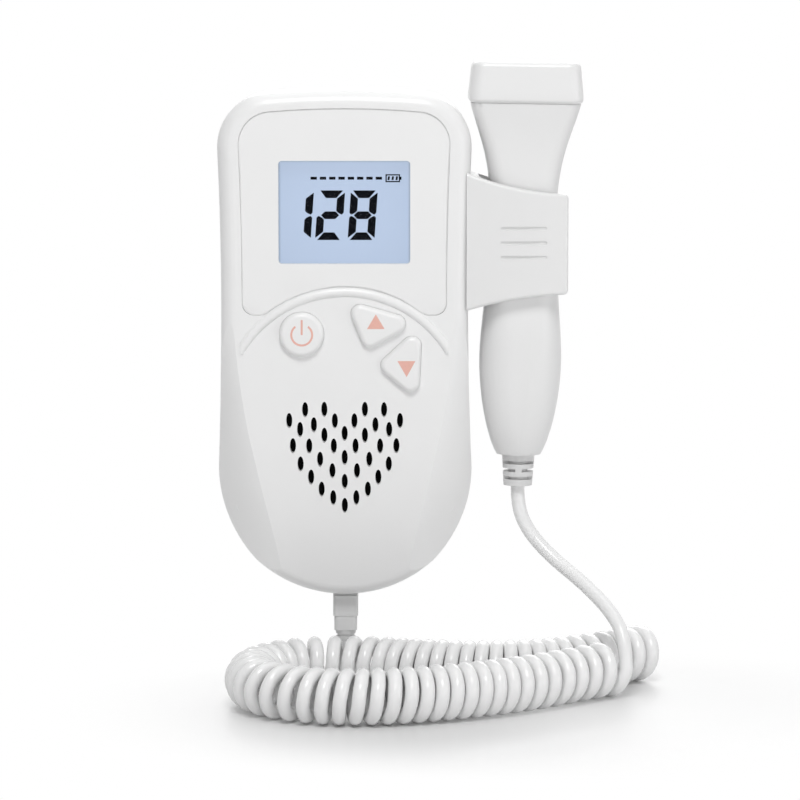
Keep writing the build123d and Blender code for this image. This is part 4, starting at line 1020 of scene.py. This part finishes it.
def make_battery_symbol(material):
    """The battery symbol: a frame, its nub and three slanting bars."""
    left, low, right, high = BATTERY_BOX
    line = BATTERY_LINE
    boxes = [
        rectangle(left, high - line, right, high),
        rectangle(left, low, right, low + line),
        rectangle(left, low + line, left + line, high - line),
        rectangle(right - line, low + line, right, high - line),
        rectangle(*BATTERY_NUB),
    ]
    room = right - left - 2 * line
    bottom, top = low + BAR_INSET * line, high - BAR_INSET * line
    for number in range(BATTERY_BARS):
        middle = left + line + room * (number + 0.5) / BATTERY_BARS
        foot, head = middle - BATTERY_BAR / 2 - BAR_LEAN, middle - BATTERY_BAR / 2 + BAR_LEAN
        boxes.append([(foot, bottom), (foot + BATTERY_BAR, bottom), (head + BATTERY_BAR, top), (head, top)])
    faces = [flat_face(upright(box), PRINT_Y) for box in boxes]
    printed(faces, "display_battery_symbol", material, "housing")


# ---------------------------------------------------------------- button marks
CAP_Y = -32.0 * MM
POWER_MIDDLE = (-11.72, 3.39)
POWER_RING_RADIUS = 2.87 * MM
POWER_STROKE = 0.55
POWER_GAP = math.radians(37)
POWER_STEM_TOP = 7.53
POWER_RING_STEPS = 48
POWER_MERGE_DISTANCE = 0.00001
STEM_ROUNDING = 0.1 * MM
ARROW_ROUNDING = 0.12 * MM
UP_MARK = [(6.23, 5.05), (11.07, 5.05), (8.65, 9.11)]
DOWN_MARK = [(17.12, -8.22), (19.54, -3.79), (14.58, -3.79)]


def make_power_mark(material):
    """Open ring and stem printed on the power button.

    The ring is a stroke that spins about the button's middle: a square's edges are laid on one line, merged
    into a single upright edge, turned to the side of the gap and spun round to its other side.
    """
    [(x, z)] = upright([POWER_MIDDLE])
    stroke = POWER_STROKE * MM
    deselect_all()
    bpy.ops.mesh.primitive_plane_add(
        size=stroke, location=(x, CAP_Y, z + POWER_RING_RADIUS), rotation=(math.pi / 2, 0, 0)
    )
    ring = bpy.context.object
    bpy.ops.object.transform_apply(location=True, rotation=True, scale=True)
    edit_whole_mesh()
    bpy.ops.mesh.delete(type="ONLY_FACE")
    bpy.ops.object.mode_set(mode="OBJECT")
    for vertex in ring.data.vertices:
        vertex.co.x = x
    edit_whole_mesh()
    bpy.ops.mesh.remove_doubles(threshold=POWER_MERGE_DISTANCE)
    bpy.ops.mesh.select_all(action="SELECT")
    bpy.ops.transform.rotate(value=POWER_GAP, orient_axis="Y", center_override=(x, CAP_Y, z))
    bpy.ops.mesh.spin(
        steps=POWER_RING_STEPS, angle=2 * math.pi - 2 * POWER_GAP, center=(x, CAP_Y, z), axis=(0, 1, 0)
    )
    bpy.ops.object.mode_set(mode="OBJECT")
    middle, low = POWER_MIDDLE
    left, right = middle - POWER_STROKE / 2, middle + POWER_STROKE / 2
    stem = flat_face(upright(rectangle(left, low, right, POWER_STEM_TOP)), CAP_Y, rounding=STEM_ROUNDING)
    printed([ring, stem], "power_mark", material, "power_button")


def make_arrow_mark(name, outline, material, body):
    """Triangle printed on a volume button."""
    arrow = flat_face(upright(outline), CAP_Y, rounding=ARROW_ROUNDING)
    printed([arrow], name, material, body)


# ---------------------------------------------------------------- operators
class DOPPLER_OT_stage(bpy.types.Operator):
    """Set up the camera, the lamps and the floor"""

    bl_idname = "doppler.stage"
    bl_label = "Stage"

    def execute(self, context):
        context.scene.view_settings.view_transform = "Standard"
        add_camera()
        add_lamps()
        add_floor()
        return {"FINISHED"}


class DOPPLER_OT_cord(bpy.types.Operator):
    """Make the curly cord with its two leads"""

    bl_idname = "doppler.cord"
    bl_label = "Cord"

    def execute(self, context):
        make_cord()
        return {"FINISHED"}


# how much the gaps round the panel and the buttons close, and the box round the panel's window
PANEL_GROWTH = 0.11 * MM
BUTTON_GROWTH = 0.14 * MM
WINDOW_BOX = (-20.0 * MM, (21.0 + RISE) * MM, 20.0 * MM, (53.0 + RISE) * MM)


class DOPPLER_OT_case(bpy.types.Operator):
    """Finish the unit's housing, screen panel, buttons, door and clip"""

    bl_idname = "doppler.case"
    bl_label = "Case"

    def execute(self, context):
        case = moulded_plastic("case_plastic", colours().case, 0.32, coat=0.1)
        finish_nodes(case, "front_shell", "rear_shell", "battery_door")
        # the clip is the case's plastic made darker: painted shade for the light that falls off over it
        clip = moulded_plastic("clip_plastic", tinted(colours().case, CLIP_PAINTED_SHADE), 0.33, coat=0.1)
        finish_nodes(clip, "probe_holder")
        gloss = moulded_plastic("panel_plastic", colours().case, 0.22, grain_depth=0.000001, coat=0.1)
        smooth_copy("screen_panel", gloss, "housing", PANEL_GROWTH, WINDOW_BOX)
        cap = moulded_plastic("button_plastic", colours().case, 0.31, coat=0.15)
        for button in ("power_button", "volume_up_button", "volume_down_button"):
            smooth_copy(button, cap, button, BUTTON_GROWTH)
        return {"FINISHED"}


class DOPPLER_OT_display(bpy.types.Operator):
    """Make the lit display with its digits, dashes and battery symbol"""

    bl_idname = "doppler.display"
    bl_label = "Display"

    def execute(self, context):
        finish_nodes(clear_window("clear_window"), "lcd_lens")
        finish_nodes(lit_display("lit_display", colours().display), "lcd_glass")
        finish_nodes(moulded_plastic("light_guide", LIGHT_GUIDE_WHITE, 0.35), "lcd_backlight")
        segment = ink("display_segment", SEGMENT_BLACK, 0.5, gloss=0.05)
        make_digits(segment)
        make_level_dashes(segment)
        make_battery_symbol(segment)
        return {"FINISHED"}


class DOPPLER_OT_marks(bpy.types.Operator):
    """Print the marks on the three buttons"""

    bl_idname = "doppler.marks"
    bl_label = "Button marks"

    def execute(self, context):
        mark = ink("button_mark", colours().mark)
        make_power_mark(mark)
        make_arrow_mark("volume_up_mark", UP_MARK, mark, "volume_up_button")
        make_arrow_mark("volume_down_mark", DOWN_MARK, mark, "volume_down_button")
        return {"FINISHED"}


# how finely the probe's rear half is remeshed
REAR_SHELL_VOXEL = 0.45 * MM


class DOPPLER_OT_probe(bpy.types.Operator):
    """Finish the probe's shells, head, strain relief and inner pieces"""

    bl_idname = "doppler.probe"
    bl_label = "Probe"

    def execute(self, context):
        # the probe's colour carries a painted shade for its neck under the head
        shell = moulded_plastic("probe_plastic", colours().probe, 0.32, coat=0.1)
        smooth_copy("probe_front_shell", shell, "probe")
        smooth_copy("probe_rear_shell", shell, "probe", voxel=REAR_SHELL_VOXEL)
        smooth_copy("probe_head_cap", shell, "probe", reshape=close_head_seam)
        relief = moulded_plastic("relief_plastic", tinted(colours().probe, RELIEF_TINT), 0.36)
        finish_nodes(relief, "probe_strain_relief")
        finish_nodes(moulded_plastic("crystal_ceramic", CERAMIC_TAN, 0.5), "transducer_crystals")
        finish_nodes(moulded_plastic("backing_rubber", RUBBER_BLACK, 0.7), "transducer_backing")
        return {"FINISHED"}


class DOPPLER_OT_speaker(bpy.types.Operator):
    """Finish the speaker and the cloth behind the holes"""

    bl_idname = "doppler.speaker"
    bl_label = "Speaker"

    def execute(self, context):
        finish_nodes(woven_cloth("dust_cloth", CLOTH_BLACK), "grille_cloth")
        finish_nodes(metal("basket_steel", BASKET_STEEL, 0.4), "speaker_frame", "speaker_magnet")
        finish_nodes(moulded_plastic("cone_paper", PAPER_BLACK, 0.8), "speaker_cone")
        return {"FINISHED"}


class DOPPLER_OT_plug(bpy.types.Operator):
    """Finish the plug, the sockets and their contacts"""

    bl_idname = "doppler.plug"
    bl_label = "Plug"

    def execute(self, context):
        grey = moulded_plastic("plug_plastic", colours().plug, 0.4, spread=0.05)
        finish_nodes(grey, "plug_nose", "plug_overmould", "plug_boot")
        socket = moulded_plastic("socket_plastic", RUBBER_BLACK, 0.45)
        finish_nodes(socket, "probe_socket", "headphone_jack")
        gold = metal("contact_gold", CONTACT_GOLD, 0.25)
        finish_nodes(gold, "plug_contacts", "socket_contacts")
        return {"FINISHED"}


class DOPPLER_OT_inside(bpy.types.Operator):
    """Finish the boards, switches, screws, cells, contacts and springs"""

    bl_idname = "doppler.inside"
    bl_label = "Inside"

    def execute(self, context):
        finish_nodes(board_laminate("board_laminate"), "circuit_board", "probe_board")
        finish_nodes(moulded_plastic("switch_plastic", SWITCH_BLACK, 0.4), "tact_switches")
        steel = metal("screw_steel", SCREW_STEEL, 0.35)
        finish_nodes(steel, "board_screws", "case_screws", "holder_screws", "probe_screws")
        spring = metal("spring_steel", SPRING_STEEL, 0.22)
        finish_nodes(spring, "battery_contacts", "battery_springs")
        finish_nodes(cell_jacket("cell_jacket"), "battery_cells")
        return {"FINISHED"}


STEPS = [
    DOPPLER_OT_stage, DOPPLER_OT_cord, DOPPLER_OT_case, DOPPLER_OT_display, DOPPLER_OT_marks,
    DOPPLER_OT_probe, DOPPLER_OT_speaker, DOPPLER_OT_plug, DOPPLER_OT_inside,
]


class DOPPLER_PT_panel(bpy.types.Panel):
    """Lists the sizes, the colours and the steps that build the monitor"""

    bl_label = "Fetal doppler monitor"
    bl_idname = "DOPPLER_PT_panel"
    bl_space_type = "VIEW_3D"
    bl_region_type = "UI"
    bl_category = "Doppler"

    def draw(self, context):
        for group in (context.scene.doppler_sizes, context.scene.doppler_colours):
            column = self.layout.column()
            for name in group.__annotations__:
                column.prop(group, name)
        for step in STEPS:
            self.layout.operator(step.bl_idname)


CLASSES = [DopplerSizes, DopplerColours, *STEPS, DOPPLER_PT_panel]


def register():
    for item in CLASSES:
        bpy.utils.register_class(item)
    bpy.types.Scene.doppler_sizes = bpy.props.PointerProperty(type=DopplerSizes)
    bpy.types.Scene.doppler_colours = bpy.props.PointerProperty(type=DopplerColours)


def unregister():
    del bpy.types.Scene.doppler_sizes
    del bpy.types.Scene.doppler_colours
    for item in reversed(CLASSES):
        bpy.utils.unregister_class(item)


def main():
    register()
    bpy.ops.doppler.stage()
    bpy.ops.doppler.cord()
    bpy.ops.doppler.case()
    bpy.ops.doppler.display()
    bpy.ops.doppler.marks()
    bpy.ops.doppler.probe()
    bpy.ops.doppler.speaker()
    bpy.ops.doppler.plug()
    bpy.ops.doppler.inside()


if __name__ == "__main__":
    main()
